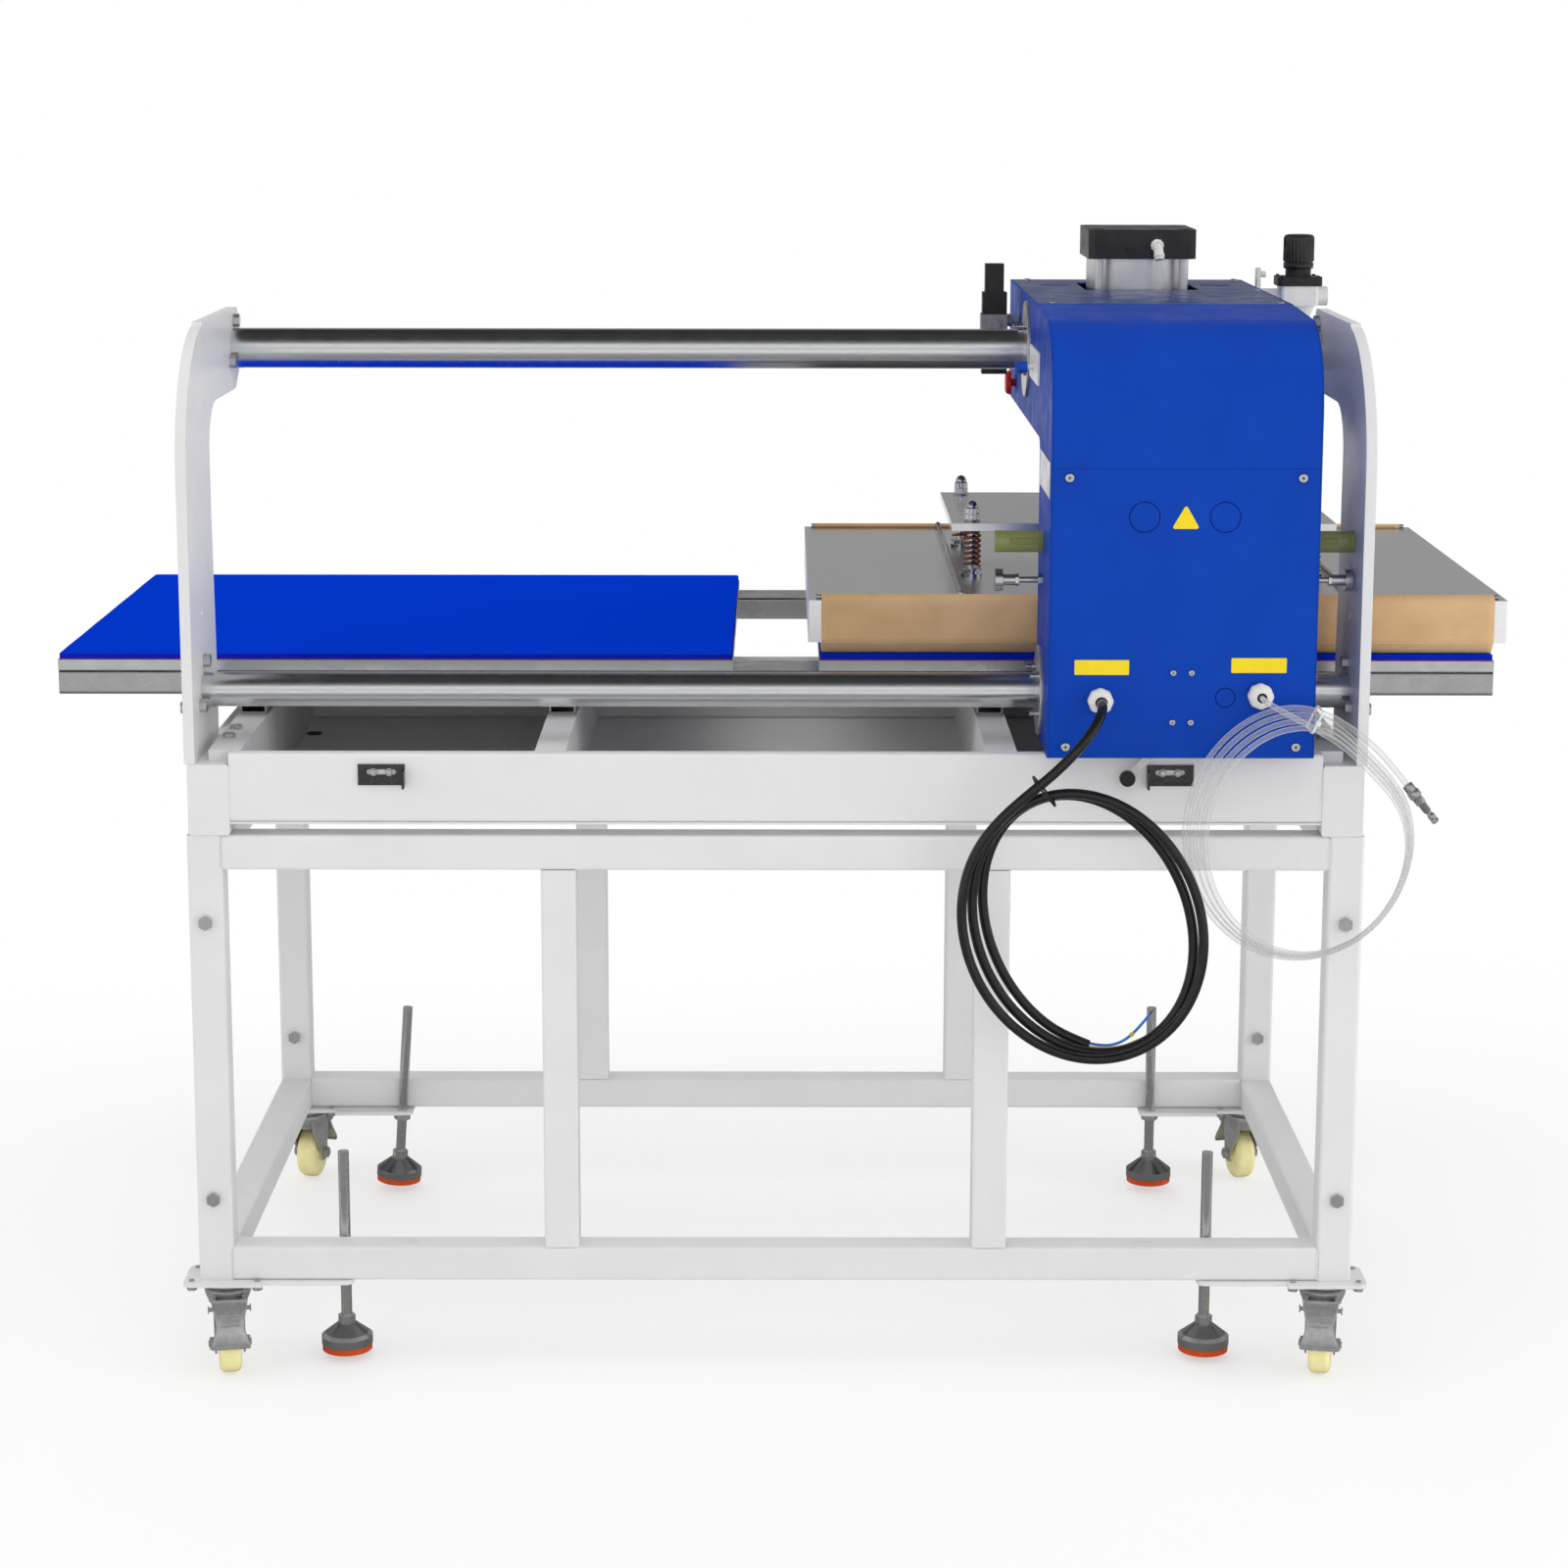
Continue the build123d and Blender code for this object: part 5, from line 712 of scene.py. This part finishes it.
def make_cloth():
    profile = cloth_profile()
    width, columns = 996.0, 120

    def fill(bm):
        rows = []
        for k in range(columns + 1):
            x = HEAD_X - width / 2 + width * k / columns
            row = []
            for y, z in profile:
                inside = PLATEN_BOTTOM + 4 < z < PLATEN_TOP - 2
                depth = math.sin(math.pi * (z - PLATEN_BOTTOM) / (PLATEN_TOP - PLATEN_BOTTOM)) if inside else 0
                ripple = (0.9 * math.sin(x * 0.031 + z * 0.02) + 0.6 * math.sin(x * 0.083 - z * 0.045)
                          + 0.3 * math.sin(x * 0.21 + z * 0.11))
                push = max(0.0, 0.9 + ripple) * depth * 1.1
                row.append(bm.verts.new(place(x, y - push if y < PRESS_Y else y + push, z)))
            rows.append(row)
        for a, b in zip(rows, rows[1:]):
            for k in range(len(profile) - 1):
                bm.faces.new((a[k], a[k + 1], b[k + 1], b[k]))

    cloth = piece("ptfe_cloth_sheet", fill, PTFE, "press", True)
    thick = cloth.modifiers.new("thickness", "SOLIDIFY")
    thick.thickness = 0.0003
    thick.offset = 0
    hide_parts("ptfe_sheet")


# Details that the CAD model leaves plain

EAST, NORTH, UP = (1, 0, 0), (0, 1, 0), (0, 0, 1)
WEST, REAR, DOWN = (-1, 0, 0), (0, -1, 0), (0, 0, -1)
FACING = {REAR: (EAST, UP), NORTH: (WEST, UP), UP: (EAST, NORTH), EAST: (NORTH, UP), WEST: (REAR, UP)}


def turned(name, start, direction, profile, finish, body, sides=40, closed=False, ribs=0):
    return piece(name, lambda bm: lathe(bm, start, direction, profile, sides, closed, ribs), finish, body,
                 True)


def flat(name, middle, facing, outline, thick, ease, finish, body):
    return piece(name, lambda bm: slab(bm, middle, *FACING[facing], outline, thick, ease), finish, body)


def make_hose_plug():
    """Quick plug on the hose's end: knurled nut, ring, body, neck and grooved nose."""
    start = Vector(PLUG_START)
    knurled = [(0, 5.0), (0.6, 7.2, 0.8), (1.4, 7.5, 0.8), (11.2, 7.5, 0.8), (12, 7.0, 0.4)]
    ring = [(12, 8.4), (12.8, 9.0), (21.2, 9.0), (22, 8.4)]
    shank = [(22.3, 7.2), (33.2, 7.4), (34, 6.6), (34.2, 5.7), (47.6, 5.7), (48, 4.0), (53, 4.0)]
    nose = [(53.4, 5.2), (54, 5.5), (60, 5.5), (60.5, 4.9), (62, 4.9), (62.5, 5.5), (65.5, 5.5), (67, 4.4)]
    profile = knurled + ring + shank + nose
    made = turned("hose_quick_plug", start, start - Vector(HOSE_TAIL[-1]), profile, QUICK_PLUG, "head", 48,
                  ribs=24)
    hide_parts("hose_plug")
    return made


def make_labels():
    """Knock-out lines, blank stickers and flat dark crosses on the head's rear and top, painted shade for the
    screws' recesses.
    """
    knockouts = ((508.5, 1260.0, 21.0), (620.0, 1260.0, 21.0), (625.6, 1007.0, 13.5))
    for k, (x, z, r) in enumerate(knockouts):
        line = [(0.0, r - 0.6), (0.12, r - 0.5), (0.12, r + 0.5), (0.0, r + 0.6)]
        turned(f"knockout_line_{k}", (x, HEAD_REAR, z), REAR, line, BLUE_LINE, "head", 64, closed=True)
    flat("sticker_left", (453.0, HEAD_REAR, 1049.5), REAR, box_outline(76, 21, 1.2), 0.3, 0.1, YELLOW, "head")
    flat("sticker_right", (671.5, HEAD_REAR, 1052.5), REAR, box_outline(77, 21, 1.2), 0.3, 0.1, YELLOW, "head")
    side = 39.0
    low, high = -side / math.sqrt(12), side / math.sqrt(3)
    corners = [(-side / 2, low), (side / 2, low), (0.0, high)]
    flat("sticker_middle", (565.5, HEAD_REAR, 1255.0), REAR, rounded(corners, 2.6), 0.3, 0.1, YELLOW, "head")
    heads = [(HEAD_X + x, z, 13.0, 3.5) for x in (-161.0, 160.5) for z in (1314.5, 937.0)]
    heads += [(HEAD_X + x, z, 9.0, 3.0) for x in (-12.5, 13.0) for z in (972.0, 1042.0)]
    # Each screw head gets a flat dark cross: painted shade for its recess.
    for k, (x, z, wide, out) in enumerate(heads):
        cross = cross_outline(wide * 0.26, wide * 0.055)
        flat(f"screw_recess_shade_{k}", (x, HEAD_REAR - out + 0.05, z), REAR, cross, 0.1, 0.0, RECESS_SHADE, "head")
    cross, top = cross_outline(2.9, 0.6), HEAD_TOP + 3.45
    for k, (x, y) in enumerate((x, y) for x in (-162.0, 170.0) for y in (277.0, 804.0)):
        flat(f"top_recess_shade_{k}", (HEAD_X + x, y, top), UP, cross, 0.1, 0.0, RECESS_SHADE, "head")


def make_gland_nuts():
    """Eight-sided dome nut and dark seal on each gland."""
    for name, middle, cord in (("mains", MAINS_GLAND, MAINS_D), ("hose", HOSE_GLAND, HOSE_D)):
        hole = max(cord / 2 + 1.2, 7.0)
        nut = [(4.0, 14.6), (4.6, 17.0, 0.8), (6.0, 18.0, 1.0), (15.0, 18.0, 1.0), (18.5, 17.4, 0.9),
               (22.0, 15.4, 0.6), (24.6, 12.6, 0.3), (26.2, 10.4),
               (26.8, hole + 0.8), (26.6, hole), (20.0, hole), (4.0, hole)]
        turned(f"{name}_gland_nut", middle, REAR, nut, FITTING, "head", 64, closed=True, ribs=8)
        r = cord / 2 - 0.1
        seal = [(25.0, r), (25.0, hole + 0.3), (26.2, hole + 0.3), (26.4, (r + hole) / 2), (26.2, r)]
        turned(f"{name}_gland_seal", middle, REAR, seal, BLACK, "head", 32, closed=True)


def make_regulator_knob():
    """Fluted knob with a plain collar, in the CAD knob's place."""
    collar = [(0.0, 22.0), (0.8, 23.6), (8.6, 23.6), (9.0, 22.6), (10.6, 22.6), (11.2, 23.4)]
    flutes = [(12.4, 24.5, 1.6), (47.0, 24.2, 1.6), (50.6, 23.0, 0.9)]
    crown = [(52.4, 21.0), (53.0, 18.5), (52.2, 17.6), (52.2, 0.0)]
    knob = turned("fluted_knob", (KNOB_X, KNOB_Y, KNOB_Z), UP, collar + flutes + crown, KNOB_BLACK,
                  "regulator_knob", 144, ribs=24)
    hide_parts("regulator_knob")
    across, along = 28.5, 26.0
    for k, (x, y) in enumerate((x, y) for x in (-across, across) for y in (-along, along)):
        head = [(0.0, 2.8), (1.4, 2.8), (2.0, 2.2), (2.0, 1.4), (1.0, 1.3), (1.0, 0.0)]
        turned(f"bonnet_screw_{k}", (KNOB_X + x, KNOB_Y + y, KNOB_FLANGE_TOP), UP, head, STEEL_DARK, "head", 24)


def make_cap_screws():
    """Socket screws in the cylinder cap's corner holes."""
    out = 66.0
    head = [(0.0, 8.0), (6.2, 8.0, 0.3), (7.0, 7.3), (7.0, 4.6), (6.6, 4.2), (2.6, 4.2), (2.6, 0.0)]
    for k, (x, y) in enumerate((x, y) for x in (-out, out) for y in (-out, out)):
        turned(f"cap_screw_{k}", (HEAD_X + x, PRESS_Y - 6 + y, CAP_TOP), UP, head, STEEL_DARK, "head", 48,
               ribs=24)


def make_tube_caps():
    """Plates that close the side tubes' ends, and plugs in the frame's holes."""
    for side, name in ((-1, "left"), (1, "right")):
        x = side * (CART_HALF - SIDE_TUBE_SET_IN - SIDE_TUBE_W / 2)
        cap = box_outline(SIDE_TUBE_W - 0.4, SIDE_TUBE_H - 0.4, 4.0)
        for facing, y, end in ((REAR, 0.0, "rear"), (NORTH, CART_DEPTH, "front")):
            flat(f"tube_cap_{name}_{end}", (x, y, SIDE_TUBE_Z), facing, cap, 1.4, 0.6, WHITE, "frame")
        for k, z in enumerate((1174.0, 1099.0)):
            start, inward = (side * UPRIGHT_INNER, 96.0, z), (-side, 0, 0)
            button = [(0.0, 5.2), (0.5, 5.2), (1.3, 3.8), (1.6, 0.0)]
            turned(f"hole_plug_{name}_{k}", start, inward, button, FITTING, "frame", 24)
        oval, spot = box_outline(30.0, 12.0, 5.9, 8), (side * 535.0, TUBE / 2, CART_BOTTOM + TUBE)
        flat(f"slot_plug_{name}", spot, UP, oval, 1.2, 0.8, FITTING, "frame")
    drain = [(0.0, 12.5), (0.8, 12.5), (1.6, 11.4), (1.6, 9.6), (0.9, 9.0), (0.9, 0.0)]
    turned("drain_plug", (-740.0, 650.0, TRAY_FLOOR), UP, drain, BLACK, "frame", 32)


def make_weld_beads():
    """Rippled weld beads between the rear beams and the legs."""
    for side in (-1, 1):
        name = "left" if side < 0 else "right"
        for level, bottom in enumerate((CART_BOTTOM, UPPER_BEAM_Z)):
            start = (side * (CART_HALF - TUBE), 0.6, bottom + 3)
            bead = [(k * 1.1, 1.5 + 0.5 * math.sin(k * 1.7) + 0.3 * math.sin(k * 0.61)) for k in range(41)]
            turned(f"weld_{name}_{level}", start, UP, bead, WHITE, "frame", 10)


def caster_spot(corner, x, y, z):
    """A point given from a caster's plate, in its own swivelled frame."""
    side, rear = -1 if "left" in corner else 1, "rear" in corner
    turn = math.radians(-side * CASTER_TURN if rear else 180.0 + side * CASTER_TURN)
    axis_x, axis_y = side * CASTER_X, CASTER_Y if rear else CART_DEPTH - CASTER_Y
    return Vector((axis_x + x * math.cos(turn) - y * math.sin(turn),
                   axis_y + x * math.sin(turn) + y * math.cos(turn), CASTER_HEIGHT + z))


def make_press_nuts():
    """Washer, hex nut and acorn nut on each press bolt."""
    for k, (x, y) in enumerate((x, y) for x in PRESS_BOLTS_X for y in PRESS_BOLTS_Y):
        top = (x, y, PRESS_TOP)
        turned(f"press_washer_{k}", top, UP, [(0.0, 13.0), (1.6, 13.0), (2.0, 12.5)], PLUG, "press", 32)
        nut = [(2.0, 9.6), (3.0, 11.2), (11.0, 11.2), (12.0, 9.8)]
        piece(f"press_nut_{k}", lambda bm, at=top, form=nut: lathe(bm, at, UP, form, 6), PLUG, "press")
        acorn = [(12.0, 9.2), (13.0, 10.8), (20.0, 10.8), (21.0, 9.4)]
        piece(f"press_acorn_hex_{k}", lambda bm, at=top, form=acorn: lathe(bm, at, UP, form, 6), PLUG, "press")
        dome = [(20.5, 9.3), (23.5, 9.0), (27.0, 7.6), (29.8, 5.2), (31.4, 2.4), (31.8, 0.0)]
        turned(f"press_dome_{k}", top, UP, dome, PLUG, "press", 32)


def make_platen_ties():
    """Round rods on the platen's two flat bars, with their end collars."""
    for side in (-1, 1):
        name, set_in = "left" if side < 0 else "right", 19.0
        start = (HEAD_X + side * TOP_BAR_X, PLATEN_REAR + set_in, PLATEN_TOP + 6.4)
        end = [(0.0, 2.4), (1.0, 4.2), (3.0, 4.8), (6.0, 4.8), (8.0, 3.4)]
        long = PLATEN_FRONT - PLATEN_REAR - 2 * set_in
        bar = end + [(long - a, r) for a, r in reversed(end)]
        turned(f"platen_tie_{name}", start, NORTH, bar, PLUG, "press", 20)


def make_elbow():
    """Ribbed nut, body ring and collet on the cap's elbow."""
    nut = [(0.4, 8.6), (1.0, 10.2, 0.9), (6.2, 10.2, 0.9), (6.8, 8.8)]
    turned("elbow_nut", (ELBOW_X, ELBOW_Y, ELBOW_Z), REAR, nut, FITTING, "head", 48, ribs=12)
    ring = [(13.0, 7.6), (13.4, 8.4), (17.6, 8.4), (18.0, 7.6), (20.2, 7.2), (21.0, 5.6)]
    leaning = (0.1, -0.35, -1.0)
    turned("elbow_collet", (ELBOW_X, ELBOW_Y - 14.0, ELBOW_Z), leaning, ring, FITTING, "head", 32)


def pedal_tread(bm, corner):
    """Bent sheet tread: waisted, wider at its foot, its edges turned back into ears at the pivot."""
    rows = [((-47.0, -15.5), 25.5, 8.0), ((-56.0, -21.0), 25.5, 17.0), ((-63.5, -30.0), 23.5, 19.0),
            ((-70.0, -41.0), 20.0, 14.0), ((-76.0, -54.0), 19.0, 8.0), ((-78.5, -66.0), 24.0, 5.0),
            ((-79.5, -76.0), 27.5, 4.0), ((-77.5, -80.0), 27.5, 2.0), ((-73.5, -80.5), 26.0, 1.0)]
    grid = []
    for (y, z), half, skirt in rows:
        row = [caster_spot(corner, -half, y + skirt, z + skirt * 0.3)]
        for t in (-1, -0.92, -0.5, 0, 0.5, 0.92, 1):
            row.append(caster_spot(corner, half * t, y - 1.2 * (1 - t * t), z))
        row.append(caster_spot(corner, half, y + skirt, z + skirt * 0.3))
        grid.append([bm.verts.new(place(*p)) for p in row])
    for a, b in zip(grid, grid[1:]):
        for k in range(len(a) - 1):
            bm.faces.new((a[k], a[k + 1], b[k + 1], b[k]))


def make_pedal(corner):
    body = f"caster_{corner}_pedal"
    tread = piece(f"brake_tread_{corner}", lambda bm: pedal_tread(bm, corner), CASTER, body, True)
    thick = tread.modifiers.new("thickness", "SOLIDIFY")
    thick.thickness = 0.0022
    thick.offset = 0
    smooth = tread.modifiers.new("smooth", "SUBSURF")
    smooth.levels = smooth.render_levels = 2
    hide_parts(body)


def make_caster_details():
    """Pressed ribs and a rolled lip on each brake pedal, and a bright race round each swivel."""
    rows = [(-67.3, -33.4, 15.0, 1.5), (-71.0, -39.8, 14.0, 1.5), (-74.0, -46.4, 13.0, 1.5),
            (-80.2, -75.5, 23.0, 2.2)]
    for corner in CORNERS:
        make_pedal(corner)
        for k, (y, z, half, r) in enumerate(rows):
            a, b = caster_spot(corner, -half, y, z), caster_spot(corner, half, y, z)
            long = 2 * half
            end = [(0, r * 0.35), (0.6, r * 0.8), (1.6, r)]
            bar = end + [(long - along, radius) for along, radius in reversed(end)]
            turned(f"pedal_rib_{corner}_{k}", a, b - a, bar, CASTER, f"caster_{corner}_pedal", 16)
        housing = [(0.0, 30.0), (0.4, 33.0), (2.0, 34.0), (8.0, 33.4), (15.0, 31.0), (21.0, 28.2), (22.0, 28.6),
                   (22.6, 27.8), (21.6, 26.6), (12.0, 29.6), (2.0, 30.0)]
        turned(f"swivel_housing_{corner}", caster_spot(corner, 0, 0, -10.0), DOWN, housing, CASTER,
               f"caster_{corner}_fork", 48, closed=True)
        race = [(0.0, 34.2), (2.2, 35.0), (3.6, 34.6), (4.6, 33.0), (4.6, 31.0), (0.0, 31.0)]
        turned(f"swivel_race_{corner}", caster_spot(corner, 0, 0, -1.6), DOWN, race, PLUG, "frame", 48,
               closed=True)


# Stage and light

FLOOR_LIFT = 0.52       # how much of the white backdrop already shows beside the object
MIRRORED_FLOOR = (0.30, 0.30, 0.30)
MIRRORED_BY_HEIGHT = [(0.0, 0.50), (0.48, 0.55), (0.52, 0.60), (0.66, 0.95), (0.70, 0.90), (0.785, 0.24),
                      (0.90, 0.03), (1.0, 0.03)]
MIRRORED_BY_DEPTH = [(0.0, 1.0), (0.50, 1.0), (0.75, 0.44), (1.0, 0.42)]
WORLD_LIGHT = 0.70


def plain(name, colour, rough=0.9):
    made = Finish(name, colour, rough, specular=0.1)
    made.mottled(made.noise(0.8, detail=2), tuple(c * 0.985 for c in colour))
    return made


def make_stage():
    """A white floor: it takes shadows near the object and fades into the white backdrop further out."""
    bpy.ops.mesh.primitive_plane_add(size=60, location=(0, 0, -0.0005))
    floor = bpy.context.object
    floor.name = "floor"
    made = plain("floor_white", (0.93, 0.93, 0.93))
    path, glow = made.node("ShaderNodeLightPath"), made.node("ShaderNodeEmission")
    away, far = made.node("ShaderNodeVectorMath", operation="LENGTH"), made.node("ShaderNodeMapRange")
    seen = made.node("ShaderNodeMath", operation="MAXIMUM")
    blend = made.node("ShaderNodeMath", operation="MULTIPLY")
    distant, gloss = made.node("ShaderNodeMapRange"), made.node("ShaderNodeMath", operation="MULTIPLY")
    both = made.node("ShaderNodeMath", operation="MAXIMUM")
    made.mottled(path.outputs["Is Glossy Ray"], MIRRORED_FLOOR, 0.0, 1.0)
    distant.inputs["From Min"].default_value, distant.inputs["From Max"].default_value = 2.6, 4.6
    distant.inputs["To Max"].default_value = 0.9
    mix, out = made.node("ShaderNodeMixShader"), made.nodes["Material Output"]
    far.interpolation_type = "SMOOTHSTEP"
    far.inputs["From Min"].default_value, far.inputs["From Max"].default_value = 0.9, 2.4
    far.inputs["To Min"].default_value = FLOOR_LIFT
    made.links.new(made.mapped((0.8, 1.0, 1.0)), away.inputs[0])
    made.links.new(away.outputs["Value"], far.inputs["Value"])
    made.links.new(path.outputs["Is Camera Ray"], seen.inputs[0])
    made.links.new(path.outputs["Is Transmission Ray"], seen.inputs[1])
    made.links.new(seen.outputs[0], blend.inputs[0])
    made.links.new(far.outputs["Result"], blend.inputs[1])
    made.links.new(away.outputs["Value"], distant.inputs["Value"])
    made.links.new(path.outputs["Is Glossy Ray"], gloss.inputs[0])
    made.links.new(distant.outputs["Result"], gloss.inputs[1])
    made.links.new(blend.outputs[0], both.inputs[0])
    made.links.new(gloss.outputs[0], both.inputs[1])
    made.links.new(both.outputs[0], mix.inputs["Fac"])
    made.links.new(made.shader.outputs[0], mix.inputs[1])
    made.links.new(glow.outputs[0], mix.inputs[2])
    made.links.new(mix.outputs[0], out.inputs["Surface"])
    floor.data.materials.append(made.material)


def lamp(name, spot, target, size, power):
    data = bpy.data.lights.new(name, "AREA")
    data.shape = "RECTANGLE"
    data.size, data.size_y = size
    data.energy = power
    obj = bpy.data.objects.new(name, data)
    obj.location = spot
    obj.rotation_euler = (Vector(target) - Vector(spot)).to_track_quat("-Z", "Y").to_euler()
    obj.visible_glossy = False
    bpy.context.collection.objects.link(obj)


def level_curve(nodes, links, value, stops):
    """Light level over one part of a direction, which runs from -1 to 1 and is read here as 0 to 1."""
    halve, ramp = nodes.new("ShaderNodeMapRange"), nodes.new("ShaderNodeValToRGB")
    halve.inputs["From Min"].default_value = -1.0
    elements = ramp.color_ramp.elements
    for k, (at, level) in enumerate(stops):
        element = elements[k] if k < 2 else elements.new(at)
        element.position, element.color = at, (level, level, level, 1)
    links.new(value, halve.inputs["Value"])
    links.new(halve.outputs["Result"], ramp.inputs["Fac"])
    return ramp.outputs["Color"]


def make_light():
    world = bpy.data.worlds.new("studio")
    bpy.context.scene.world = world
    world.use_nodes = True
    nodes, links = world.node_tree.nodes, world.node_tree.links
    out, lit = nodes["World Output"], nodes["Background"]
    lit.inputs["Color"].default_value = (1, 1, 1, 1)
    lit.inputs["Strength"].default_value = WORLD_LIGHT
    seen, mirrored = nodes.new("ShaderNodeBackground"), nodes.new("ShaderNodeBackground")
    seen.inputs["Color"].default_value = (1, 1, 1, 1)
    spot, split = nodes.new("ShaderNodeTexCoord"), nodes.new("ShaderNodeSeparateXYZ")
    links.new(spot.outputs["Generated"], split.inputs[0])
    shade = nodes.new("ShaderNodeMath")
    shade.operation = "MULTIPLY"
    near = level_curve(nodes, links, split.outputs["Z"], MIRRORED_BY_HEIGHT)
    far = level_curve(nodes, links, split.outputs["Y"], MIRRORED_BY_DEPTH)
    links.new(near, shade.inputs[0])
    links.new(far, shade.inputs[1])
    links.new(shade.outputs[0], mirrored.inputs["Color"])
    path = nodes.new("ShaderNodeLightPath")
    first, second = nodes.new("ShaderNodeMixShader"), nodes.new("ShaderNodeMixShader")
    clear = nodes.new("ShaderNodeMath")
    clear.operation = "MAXIMUM"
    links.new(path.outputs["Is Camera Ray"], clear.inputs[0])
    links.new(path.outputs["Is Transmission Ray"], clear.inputs[1])
    links.new(path.outputs["Is Glossy Ray"], first.inputs["Fac"])
    links.new(lit.outputs[0], first.inputs[1])
    links.new(mirrored.outputs[0], first.inputs[2])
    links.new(clear.outputs[0], second.inputs["Fac"])
    links.new(first.outputs[0], second.inputs[1])
    links.new(seen.outputs[0], second.inputs[2])
    links.new(second.outputs[0], out.inputs["Surface"])
    lamp("overhead", (-0.6, -1.2, 4.2), (0, 0, 0.8), (4.5, 3.0), 34)
    lamp("rear_fill", (0.8, -4.5, 1.5), (0, 0, 0.7), (3.5, 2.4), 30)
    lamp("front_fill", (-1.0, 4.2, 3.0), (0, 0, 0.9), (3.0, 2.0), 26)
    lamp("low_front", (-0.6, 4.0, 1.15), (-0.3, 0, 0.85), (4.0, 0.5), 34)
    lamp("right_fill", (4.6, -1.4, 1.8), (0, 0, 0.9), (3.0, 2.5), 62)
    lamp("left_fill", (-4.6, -1.4, 1.8), (0, 0, 0.9), (3.0, 2.5), 30)


bpy.context.scene.view_settings.view_transform = "Standard"
aim_camera()
make_cords()
make_pads()
make_cloth()
make_labels()
make_gland_nuts()
make_regulator_knob()
make_cap_screws()
make_elbow()
make_press_nuts()
make_platen_ties()
make_tube_caps()
make_weld_beads()
make_caster_details()
dress_cad()
make_stage()
make_light()
